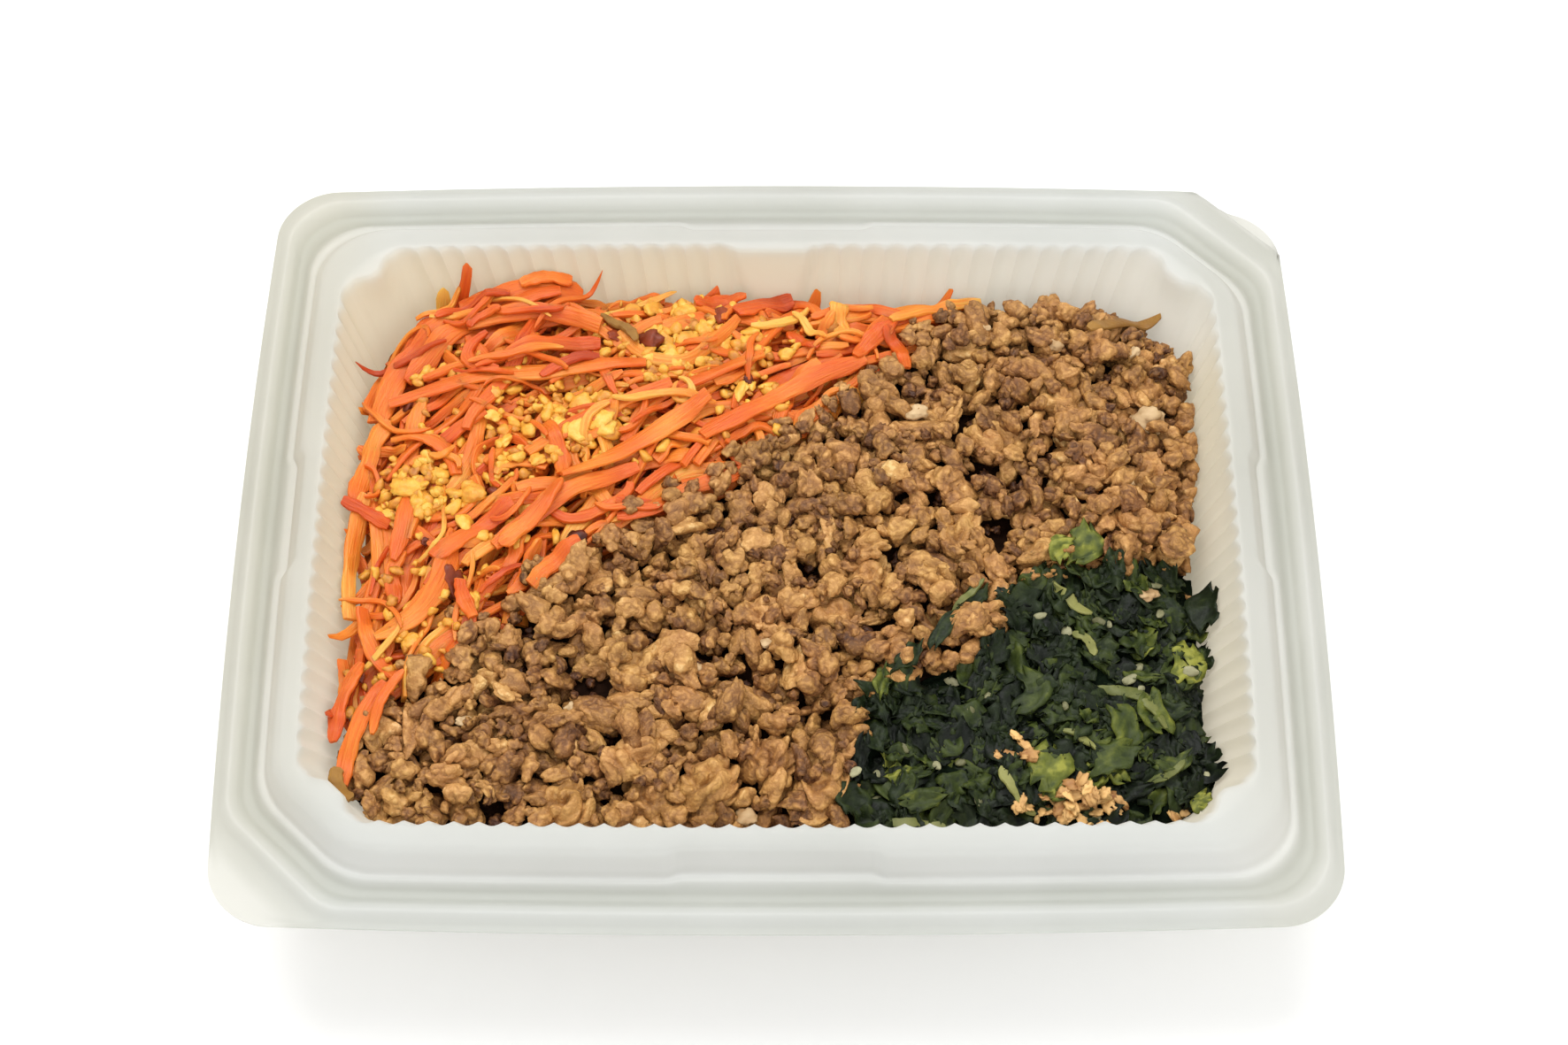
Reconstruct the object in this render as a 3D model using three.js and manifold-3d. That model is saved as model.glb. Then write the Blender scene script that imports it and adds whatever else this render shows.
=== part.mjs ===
// A takeaway meal in its box: an open ribbed tray of thin milky plastic, with three foods lying
// side by side in diagonal bands: shredded carrot salad, browned minced meat and chopped greens.
// Millimetres, +Z up. +X runs along the tray's long side. The origin is under the middle of the
// tray, on the surface that it stands on.
import * as THREE from "three";
import { mergeVertices } from "three/addons/utils/BufferGeometryUtils.js";
import Module from "manifold-3d";

const wasm = await Module();
wasm.setup();

// Tray
const TRAY_LENGTH = 199;
const TRAY_DEPTH = 161.8;
const TRAY_HEIGHT = 36;
const SHEET = 0.7; // thickness of the plastic
const CORNER_STEPS = 3; // straight pieces in each eighth of a turn
const BOW_ALONG_X = 1.75; // how far the short sides bulge, corner to middle
const BOW_ALONG_Y = 2.0; // how far the long sides bulge
const FLANGE_LEVEL = 31.5; // height of the tray's outermost edge
const RING_INSET = 15.4; // the flat ring's inner edge, from the outermost edge at the short sides
const LONG_SIDE_EXTRA = 0.19; // the rim is this much wider along the long sides
const DRAFT = THREE.MathUtils.degToRad(20); // lean of the ribbed wall
const RIB_TOP_LEVEL = 35.7;
const WALL_FOOT_LEVEL = 2.2;
const FLOOR_ROUNDING = 1.5; // inset between the wall's foot and the flat floor
const RIBS_PER_LONG_SIDE = 32;
const RIBS_PER_SHORT_SIDE = 24;
const RIB_DEPTH = 1.1;
const NOTCH_DEPTH = 2.7; // step in the skirt at the middle of each side
const LONG_NOTCH = { centre: 0, length: 36 };
const SHORT_NOTCH = { centre: 3, length: 25 };
const NOTCH_RAMP = 1.5;

// The flange is cut at two opposite corners, and a tab shows below each cut.
const TAB_REACH = 18; // length of each cut along the sides
const TAB_DROOP = 3.5; // the tab at +X +Y is bent down by this much
const TAB_SETBACK = 2.5; // and lies this much further in
const TAB_BEND = { start: -1.5, end: 2 }; // distances beyond the cut between which it bends

// Food
const GAP = 0.35; // kept between the foods, and between food and floor
const WALL_GAP = 0.6; // kept between food and ribs
const FOOD_HALF_LENGTH = 79;
const FOOD_HALF_DEPTH = 57.5;
const FOOD_EDGE_LEVEL = 24.2; // height of the food along its outline
const FOOD_SHOULDER = 4.2; // rise from the outline to the level middle
const FOOD_SHOULDER_WIDTH = 6;
const FOOD_CROWN = 1.3;
const FOOD_CORNER_CUTS = { backRight: 15, backLeft: 19, frontLeft: 8, frontRight: 5 };
const FOOD_GRID = 4.3; // spacing of the heaps' surface points

const halfLength = TRAY_LENGTH / 2;
const halfDepth = TRAY_DEPTH / 2;
const ringLevel = TRAY_HEIGHT;
const ribInset = RING_INSET + 0.45;
const wallFootInset = ribInset + (RIB_TOP_LEVEL - WALL_FOOT_LEVEL) * Math.tan(DRAFT);
const floorInset = wallFootInset + FLOOR_ROUNDING;

const round = (radius) => ({ reach: radius, radius });
// A cut corner: two bends of the given radius with a straight line between them.
const cut = (length, radius) => ({ reach: length + radius * Math.tan(Math.PI / 8), radius });

// The rim's section from the outermost edge inward. Inset is measured at the short sides, level is
// height above the floor's underside, plain and clipped are the shapes of its two kinds of corner.
const rimStations = [
  { inset: 0, level: FLANGE_LEVEL, plain: round(11), clipped: round(11), tab: true },
  { inset: 1.1, level: FLANGE_LEVEL + 0.1, plain: round(10), clipped: cut(TAB_REACH, 8) },
  { inset: 1.8, level: FLANGE_LEVEL + 1, plain: round(10), clipped: cut(TAB_REACH, 8) },
  { inset: 3.4, level: FLANGE_LEVEL + 0.15, plain: round(10), clipped: cut(17.5, 9) },
  { inset: 4.7, level: FLANGE_LEVEL - 0.8, plain: round(10.5), clipped: cut(17, 10) },
  { inset: 7.8, level: FLANGE_LEVEL - 0.6, plain: round(11), clipped: cut(16, 13), notched: true },
  { inset: 10.6, level: FLANGE_LEVEL + 3.6, plain: round(12), clipped: cut(14, 13), notched: true },
  { inset: RING_INSET, level: ringLevel, plain: round(13), clipped: cut(9.5, 12.5) },
];
const wallStations = [
  { inset: ribInset, level: RIB_TOP_LEVEL, plain: round(13), clipped: cut(9, 12.5), ribs: RIB_DEPTH },
  { inset: wallFootInset, level: WALL_FOOT_LEVEL, plain: round(12), clipped: round(12), ribs: 0.6 },
  { inset: floorInset, level: SHEET, plain: round(11), clipped: round(11), ribs: 0 },
];

// All four sides bulge: every outline is bent by this rule.
function bowed(x, y) {
  const bentX = x * (1 - (BOW_ALONG_X / halfLength) * (y / halfDepth) ** 2);
  const bentY = y * (1 - (BOW_ALONG_Y / halfDepth) * (x / halfLength) ** 2);
  return [bentX, bentY];
}

function halfSizes(inset) {
  const longSideInset = inset + LONG_SIDE_EXTRA * Math.min(inset, RING_INSET);
  return [halfLength - inset, halfDepth - longSideInset];
}

// One corner, walked from the first side to the second, as distances inward from both sides.
function cornerPoints({ reach, radius }, steps) {
  const bend = Array.from({ length: steps + 1 }, (_, i) => {
    const angle = (i / steps) * (Math.PI / 4);
    return [radius * (1 - Math.cos(angle)), reach - radius * Math.sin(angle)];
  });
  const mirrored = bend.map(([a, b]) => [b, a]).reverse();
  const isRound = reach === radius;
  return [...bend, ...(isRound ? mirrored.slice(1) : mirrored)];
}

// Places along a smooth side, with points on both ends of the notch.
function plainSteps(halfSide, notchCentre, notchLength) {
  const notchEnds = [-1, 1].flatMap((end) => {
    const edge = notchCentre + (end * notchLength) / 2;
    return [edge - NOTCH_RAMP / 2, edge + NOTCH_RAMP / 2];
  });
  const spread = [-0.97, -0.9, -0.8, -0.5, 0.5, 0.8, 0.9, 0.97].map((part) => part * halfSide);
  return [...spread, ...notchEnds].sort((a, b) => a - b);
}

function ribSteps(halfSide, ribs) {
  return Array.from({ length: 2 * ribs - 1 }, (_, i) => halfSide * ((i + 1) / ribs - 1));
}

// One closed outline at a level, anticlockwise from the corner at +X -Y.
function outline(station, inset, level) {
  const ribbed = station.ribs !== undefined;
  const [halfX, halfY] = halfSizes(inset);
  const corners = [station.clipped, station.plain, station.clipped, station.plain];
  const points = [];
  for (let side = 0; side < 4; side++) {
    const isLong = side % 2 === 1;
    const [out, half] = isLong ? [halfY, halfX] : [halfX, halfY];
    const start = -half + corners[(side + 3) % 4].reach;
    const end = half - corners[side].reach;
    const [middle, halfSide] = [(start + end) / 2, (end - start) / 2];
    const notch = isLong ? LONG_NOTCH : SHORT_NOTCH;
    const notchCentre = (side < 2 ? 1 : -1) * notch.centre - middle;
    const ribs = isLong ? RIBS_PER_LONG_SIDE : RIBS_PER_SHORT_SIDE;
    const steps = ribbed ? ribSteps(halfSide, ribs) : plainSteps(halfSide, notchCentre, notch.length);
    const alongSide = steps.map((step, i) => {
      const inNotch = station.notched && Math.abs(step - notchCentre) < notch.length / 2;
      const ribOut = ribbed && i % 2 === 0 ? station.ribs : 0;
      return [out - (inNotch ? NOTCH_DEPTH : 0) + ribOut, middle + step];
    });
    const bend = cornerPoints(corners[side], CORNER_STEPS);
    const roundCorner = bend.map(([a, b]) => [out - a, half - b]);
    for (const [across, along] of [...alongSide, ...roundCorner]) {
      const [cos, sin] = [[1, 0, -1, 0][side], [0, 1, 0, -1][side]];
      points.push(new THREE.Vector3(...bowed(across * cos - along * sin, across * sin + along * cos), level));
    }
  }
  if (station.tab) points.forEach(bendTab);
  return points;
}

// Lowers and pulls in what lies beyond the cut corner at +X +Y.
function bendTab(point) {
  const beyondCut = (point.x + point.y - (halfLength + halfDepth - TAB_REACH)) / Math.SQRT2;
  const weight = THREE.MathUtils.smoothstep(beyondCut, TAB_BEND.start, TAB_BEND.end);
  point.z -= TAB_DROOP * weight;
  point.y -= TAB_SETBACK * weight;
}

// Moves a section, given as [inset, level] pairs from the edge inward, to the sheet's other face.
function otherFace(section) {
  return section.map(([inset, level], i) => {
    const normals = [section.slice(Math.max(i - 1, 0), i + 1), section.slice(i, i + 2)]
      .filter((piece) => piece.length === 2)
      .map(([a, b]) => new THREE.Vector2(b[1] - a[1], a[0] - b[0]).normalize());
    const mean = normals.reduce((sum, normal) => sum.clone().add(normal)).normalize();
    const miter = SHEET / mean.dot(normals[0]);
    return [inset + mean.x * miter, level + mean.y * miter];
  });
}

// Joins two closed outlines with triangles, each time across the shorter diagonal.
function stitch(inner, outer, triangles) {
  let i = 0;
  let j = 0;
  while (i < inner.length || j < outer.length) {
    const a = inner[i % inner.length];
    const b = outer[j % outer.length];
    const nextA = inner[(i + 1) % inner.length];
    const nextB = outer[(j + 1) % outer.length];
    const outerIsNearer = a.distanceTo(nextB) <= b.distanceTo(nextA);
    if (j < outer.length && (i >= inner.length || outerIsNearer)) {
      triangles.push(a, b, nextB);
      j++;
    } else {
      triangles.push(a, b, nextA);
      i++;
    }
  }
}

// The flat middle of a face: six points, so that one large triangle covers the very middle.
function hexagon(level) {
  const reach = 30;
  return Array.from({ length: 6 }, (_, i) => {
    const angle = (i * Math.PI) / 3;
    return new THREE.Vector3(1.5 * reach * Math.cos(angle), reach * Math.sin(angle), level);
  });
}

function closeHexagon(points, triangles, facingUp) {
  for (const [a, b, c] of [[0, 2, 4], [0, 1, 2], [2, 3, 4], [4, 5, 0]]) {
    const face = [points[a], points[b], points[c]];
    triangles.push(...(facingUp ? face : face.reverse()));
  }
}

// A closed body through a list of outlines, from its top face outward and down to its underside.
function bodyThrough(outlines) {
  const loops = [hexagon(outlines[0][0].z), ...outlines, hexagon(outlines[outlines.length - 1][0].z)];
  const triangles = [];
  closeHexagon(loops[0], triangles, true);
  for (let i = 0; i + 1 < loops.length; i++) stitch(loops[i], loops[i + 1], triangles);
  closeHexagon(loops[loops.length - 1], triangles, false);
  return mergeVertices(new THREE.BufferGeometry().setFromPoints(triangles), 1e-4);
}

function trayGeometry() {
  const stations = [...rimStations, ...wallStations];
  const upper = stations.map(({ inset, level }) => [inset, level]);
  const lower = otherFace(upper);
  lower[0] = [0, FLANGE_LEVEL - SHEET];
  lower[lower.length - 1][1] = 0;
  const upperLoops = stations.map((station, i) => outline(station, ...upper[i]));
  const lowerLoops = stations.map((station, i) => outline(station, ...lower[i]));
  return bodyThrough([...upperLoops.reverse(), ...lowerLoops]);
}

// Smooth irregular bumps between -1 and 1, about one to each size millimetres.
function bumps(x, y, size, seed) {
  const cellX = Math.floor(x / size);
  const cellY = Math.floor(y / size);
  const [u, v] = [x / size - cellX, y / size - cellY].map((t) => t * t * (3 - 2 * t));
  const value = (i, j) => {
    const wave = Math.sin((cellX + i) * 127.1 + (cellY + j) * 311.7 + seed * 74.7) * 43758.5453;
    return 2 * (wave - Math.floor(wave)) - 1;
  };
  const { lerp } = THREE.MathUtils;
  return lerp(lerp(value(0, 0), value(1, 0), u), lerp(value(0, 1), value(1, 1), u), v);
}

// Height of the food's surface: low along its outline, with a shoulder and a slight crown.
function foodTop(x, y, relief) {
  const cuts = FOOD_CORNER_CUTS;
  const left = x < 0;
  const cornerCut = y > 0 ? (left ? cuts.backLeft : cuts.backRight) : left ? cuts.frontLeft : cuts.frontRight;
  const inside = Math.min(
    FOOD_HALF_LENGTH - Math.abs(x),
    FOOD_HALF_DEPTH - Math.abs(y),
    (FOOD_HALF_LENGTH + FOOD_HALF_DEPTH - cornerCut - Math.abs(x) - Math.abs(y)) / Math.SQRT2,
  );
  const crown = FOOD_CROWN * (1 - (x / FOOD_HALF_LENGTH) ** 2) * (1 - (y / FOOD_HALF_DEPTH) ** 2);
  const shoulder = FOOD_SHOULDER * (1 - Math.exp(-Math.max(inside, 0) / FOOD_SHOULDER_WIDTH));
  const beyond = Math.max(1.2 * Math.min(inside, 0), -6);
  return FOOD_EDGE_LEVEL + shoulder + Math.max(crown, 0) + beyond + relief(x, y);
}

const reliefs = {
  carrot_salad: (x, y) => 1.1 * bumps(0.5 * (x + y), 1.2 * (y - x), 10, 1),
  minced_meat: (x, y) => 0.8 * bumps(x, y, 9, 2) + 0.5 * bumps(x, y, 6, 3),
  greens: (x, y) => 1.2 * bumps(x, y, 9, 4),
};

// The two borders between the foods, walked from the front to the back: x for each y.
function carrotBorder(y) {
  const straight = -77 + 1.06 * (y + 48);
  return straight - 7 * Math.cos((y + 25) / 19) + 1.6 * Math.sin(y / 4.6);
}

function greensBorder(y) {
  const slope = 27 * THREE.MathUtils.smoothstep(y, -40, -17);
  const flare = 40 * Math.min(Math.max((y + 20) / 18, 0) ** 5, 4);
  return 12 + slope + flare + 1.2 * Math.sin(y / 4.1);
}

function toManifold(geometry) {
  geometry.deleteAttribute("normal").deleteAttribute("uv");
  const plain = mergeVertices(geometry, 1e-4);
  const vertProperties = new Float32Array(plain.attributes.position.array);
  const triVerts = new Uint32Array(plain.index.array);
  return new wasm.Manifold(new wasm.Mesh({ numProp: 3, vertProperties, triVerts }));
}

function fromManifold(solid) {
  const mesh = solid.getMesh();
  const geometry = new THREE.BufferGeometry();
  geometry.setAttribute("position", new THREE.BufferAttribute(mesh.vertProperties, 3));
  geometry.setIndex(new THREE.BufferAttribute(mesh.triVerts, 1));
  return geometry;
}

// The space that the tray holds, a little clear of its ribs and floor.
function traySpace() {
  const outlines = wallStations.map(({ inset, level, plain, clipped }, i) => {
    const clearance = i === wallStations.length - 1 ? GAP : 0;
    return outline({ plain, clipped }, inset + WALL_GAP, level + clearance);
  });
  return toManifold(bodyThrough(outlines));
}

// A block that reaches from below the tray up to the food's uneven surface.
function surfaceBlock(relief) {
  const columns = Math.ceil((2 * halfLength) / FOOD_GRID);
  const rows = Math.ceil((2 * halfDepth) / FOOD_GRID);
  const box = new THREE.BoxGeometry(TRAY_LENGTH, TRAY_DEPTH, TRAY_HEIGHT, columns, rows, 1);
  const { position } = box.attributes;
  for (let i = 0; i < position.count; i++) {
    const [x, y] = [position.getX(i), position.getY(i)];
    position.setZ(i, position.getZ(i) > 0 ? foodTop(x, y, relief) : -1);
  }
  return toManifold(box);
}

// An upright block over everything on one side of a border.
function sideOf(border, towards, shift) {
  const steps = 48;
  const far = towards * 2 * TRAY_LENGTH;
  const edge = Array.from({ length: steps + 1 }, (_, i) => {
    const y = TRAY_DEPTH * (i / steps - 0.5);
    return new THREE.Vector2(border(y) + shift, y);
  });
  const ends = [new THREE.Vector2(far, TRAY_DEPTH / 2), new THREE.Vector2(far, -TRAY_DEPTH / 2)];
  const block = new THREE.ExtrudeGeometry(new THREE.Shape([...edge, ...ends]), {
    depth: 2 * TRAY_HEIGHT,
    bevelEnabled: false,
  });
  return toManifold(block.translate(0, 0, -TRAY_HEIGHT / 2));
}

const space = traySpace();
const borderShift = 2 * GAP; // measured along X, so that the slanting borders keep the gap
const regions = {
  carrot_salad: (whole) => whole.intersect(sideOf(carrotBorder, -1, 0)),
  minced_meat: (whole) =>
    whole.subtract(sideOf(carrotBorder, -1, borderShift)).subtract(sideOf(greensBorder, 1, -borderShift)),
  greens: (whole) => whole.intersect(sideOf(greensBorder, 1, 0)),
};

function foodGeometry(name) {
  const whole = space.intersect(surfaceBlock(reliefs[name]));
  return fromManifold(regions[name](whole));
}

const meal = new THREE.Group();

function addPiece(name, geometry, color, roughness) {
  const mesh = new THREE.Mesh(geometry, new THREE.MeshStandardMaterial({ color, roughness, metalness: 0 }));
  mesh.name = name;
  meal.add(mesh);
}

addPiece("tray", trayGeometry(), "#dedcd2", 0.35);
addPiece("carrot_salad", foodGeometry("carrot_salad"), "#ef7f35", 0.45);
addPiece("minced_meat", foodGeometry("minced_meat"), "#98703f", 0.6);
addPiece("greens", foodGeometry("greens"), "#2c3b1c", 0.5);

export default meal;
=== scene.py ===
"""The looks of a takeaway meal in its tray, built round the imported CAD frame.

Everything is worked out in millimetres, in the frame's axes, and turned into metres as a mesh is made.
Each heap is a core with real pieces lying on it, dropped one by one on a height map of the pile.
"""

import math

import bmesh
import bpy
import numpy as np
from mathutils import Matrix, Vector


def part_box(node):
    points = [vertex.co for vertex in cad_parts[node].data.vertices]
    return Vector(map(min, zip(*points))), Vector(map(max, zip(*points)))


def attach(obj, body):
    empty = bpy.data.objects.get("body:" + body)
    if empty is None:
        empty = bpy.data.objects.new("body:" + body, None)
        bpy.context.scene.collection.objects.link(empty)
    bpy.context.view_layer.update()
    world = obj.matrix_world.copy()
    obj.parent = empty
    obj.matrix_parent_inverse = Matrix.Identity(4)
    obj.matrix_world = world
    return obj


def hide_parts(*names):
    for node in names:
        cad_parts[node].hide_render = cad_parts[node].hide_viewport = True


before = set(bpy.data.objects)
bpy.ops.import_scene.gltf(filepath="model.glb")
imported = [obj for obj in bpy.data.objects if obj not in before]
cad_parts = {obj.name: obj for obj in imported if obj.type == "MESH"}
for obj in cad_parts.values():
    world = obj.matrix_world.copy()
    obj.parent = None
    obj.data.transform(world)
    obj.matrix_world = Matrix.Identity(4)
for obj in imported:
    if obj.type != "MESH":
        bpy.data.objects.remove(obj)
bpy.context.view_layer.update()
dice = np.random.default_rng(20)
MM = 0.001

# -------- sizes of the tray
# The outline and the named insets and levels are the CAD's. The sheet is thinner than there, the ribs
# and notches are shallower and the tab bends further out, as the photo shows them.
HALF_LENGTH, HALF_DEPTH, RING_LEVEL = np.array(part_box("tray")[1]) / MM
SHEET = 0.5  # thickness of the plastic
BOW_ALONG_X = 1.75  # how far the short sides bulge, corner to middle
BOW_ALONG_Y = 2.0  # the same for the long sides
FLANGE_LEVEL = 31.5
RING_INSET = 15.4
LONG_SIDE_EXTRA = 0.19  # the rim is this much wider along the long sides
DRAFT = math.radians(20)
RIB_INSET = RING_INSET + 0.45
RIB_TOP_LEVEL = 35.7
WALL_FOOT_LEVEL = 2.2
WALL_FOOT_INSET = RIB_INSET + (RIB_TOP_LEVEL - WALL_FOOT_LEVEL) * math.tan(DRAFT)
WALL_CORNER_RADIUS = 12.5
WALL_CLIP = 9  # length of the clipped corner at the top of the wall
WALL_CLIP_LESS = 2  # how much shorter the space for the food takes it to be at the foot
RIBS_PER_LONG_SIDE = 32
RIBS_PER_SHORT_SIDE = 24
RIB_DEPTH = 0.8
RIBS_PER_BEND = 2  # on each half of a corner
POINTS_PER_RIB = 6
CORNER_STEPS = 12  # straight pieces in each eighth of a turn
NOTCH_DEPTH = 1.0
NOTCH_RAMP = 3.0
LONG_NOTCH = (0, 36)  # centre and length
SHORT_NOTCH = (3, 25)
CORNER_LUG = {"depth": 2.4, "drop": 5}
ARCH_LUG = {"centre": -1, "depth": 0.7, "drop": 15, "half_width": 8.5}
TAB_REACH = 18
CLIP_LINE = HALF_LENGTH + HALF_DEPTH - TAB_REACH  # x + y along a clipped corner of the flange
TAB_STATIONS = 1.4  # how many stations of the section the tab takes in
TAB_BEND = (-0.4, 3.4)  # where the back tab starts and ends to bend, outward from the clip's line
TAB_SHIFT = (0.8, -2.5, -3.5)  # how far its tip moves as it is bent down
# The tab gets less painted shade than the rows round it, so it is coloured paler.
TAB_PAINTED_SHADE = 0.3

# -------- sizes of the food
FOOD_HALF_LENGTH = 79
FOOD_HALF_DEPTH = 57.5
FOOD_EDGE_LEVEL = 24.2
FOOD_SHOULDER = 4.2
FOOD_SHOULDER_WIDTH = 6
FOOD_CROWN = 1.3
FOOD_RELIEF = 0.8
CORNER_CUTS = {"back_right": 15, "back_left": 19, "front_left": 8, "front_right": 5}
CORE_DROP = 5  # core below the heap's surface
CORE_MARGIN = 1.5  # core inside the heap's front and back edge
CORE_LIFT = 0.4  # core above the tray's floor and wall
CORE_LEAST = 0.05  # thickness of a core where it runs out
CORE_ROWS, CORE_COLUMNS = 64, 72
FLOOR_LEVEL = 1.1
WALL_GAP = 0.1

# -------- the height map
CELL = 0.5  # spacing
MAP_HALF_LENGTH = 92
MAP_HALF_DEPTH = 70
HOLLOW_DEPTH = 5.5
GAP_MARGIN = 1.3  # how far from an open place the middle of a piece stays
# Places along the outline where the heap lies lower: x, y, radius
EDGE_DIPS = [
    (81, 7, 4), (80, -5, 3), (80, -31, 5), (49, 59, 4), (61, 58, 4), (20, 59, 3), (-76, 53, 5), (81, 46, 3),
]


def smoothstep(value, low, high):
    t = np.clip((np.asarray(value, float) - low) / (high - low), 0, 1)
    return t * t * (3 - 2 * t)


def ripple(run, low, high):
    """A sine along a run, of a chance pitch and phase."""
    return np.sin(run * dice.uniform(low, high) + dice.uniform(0, 7))


# -------- meshes
def add_mesh(name, points, faces, material, attributes=None, sharp_angle=None):
    """A smooth-shaded mesh object from points in millimetres, riding on the one body."""
    mesh = bpy.data.meshes.new(name)
    mesh.from_pydata((np.asarray(points, float) * MM).tolist(), [], faces)
    for key, values in (attributes or {}).items():
        kind, field = ("FLOAT_VECTOR", "vector") if np.ndim(values) == 2 else ("FLOAT", "value")
        layer = mesh.attributes.new(key, kind, "POINT")
        layer.data.foreach_set(field, np.asarray(values, np.float32).ravel())
    mesh.polygons.foreach_set("use_smooth", np.ones(len(mesh.polygons), bool))
    if sharp_angle is not None:
        mesh.set_sharp_from_angle(angle=math.radians(sharp_angle))
    mesh.materials.append(material)
    piece = bpy.data.objects.new(name, mesh)
    bpy.context.scene.collection.objects.link(piece)
    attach(piece, "root")
    return piece


def turn_outward(piece, join_points=False):
    """Turns every face outward, after joining the points that coincide where that is asked."""
    solid = bmesh.new()
    solid.from_mesh(piece.data)
    if join_points:
        bmesh.ops.remove_doubles(solid, verts=solid.verts, dist=1e-6)
    bmesh.ops.recalc_face_normals(solid, faces=solid.faces)
    solid.to_mesh(piece.data)
    solid.free()


def grid_faces(rows, columns, closed_columns=False):
    """Quads between consecutive rows of points."""
    across = columns if closed_columns else columns - 1
    row, column = np.meshgrid(np.arange(rows - 1), np.arange(across), indexing="ij")
    after = (column + 1) % columns
    corners = [row * columns + column, row * columns + after, (row + 1) * columns + after]
    corners.append((row + 1) * columns + column)
    return np.stack([c.ravel() for c in corners], axis=1)


def tube_faces(rows, columns, turned_over=False):
    """Quads round a tube, and at each end a fan to one more point; these two points come last."""
    quads = grid_faces(rows, columns, closed_columns=True)
    faces = (quads[:, ::-1] if turned_over else quads).tolist()
    first = rows * columns
    final_row = first - columns
    for i in range(columns):
        after = (i + 1) % columns
        start, end = (i, after) if turned_over else (after, i)
        faces.append([first, start, end])
        faces.append([first + 1, final_row + end, final_row + start])
    return faces


def sheet_faces(rows, columns):
    """A closed sheet's faces: its upper points come first, row by row, and then its lower ones."""
    grid = grid_faces(rows, columns)
    count = rows * columns
    rim = np.concatenate([
        np.arange(columns),
        np.arange(1, rows) * columns + columns - 1,
        (rows - 1) * columns + np.arange(columns - 2, -1, -1),
        np.arange(rows - 2, 0, -1) * columns,
    ])
    after = np.roll(rim, -1)
    edge = np.stack([rim, after, after + count, rim + count], axis=1)
    return np.vstack([grid[:, ::-1], grid + count, edge]).tolist()


# -------- materials
def linear(red, green, blue):
    """A colour of the screen, 0 to 255, as Blender's linear colour."""
    screen = np.array([red, green, blue]) / 255
    return np.where(screen <= 0.04045, screen / 12.92, ((screen + 0.055) / 1.055) ** 2.4).tolist()


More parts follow.
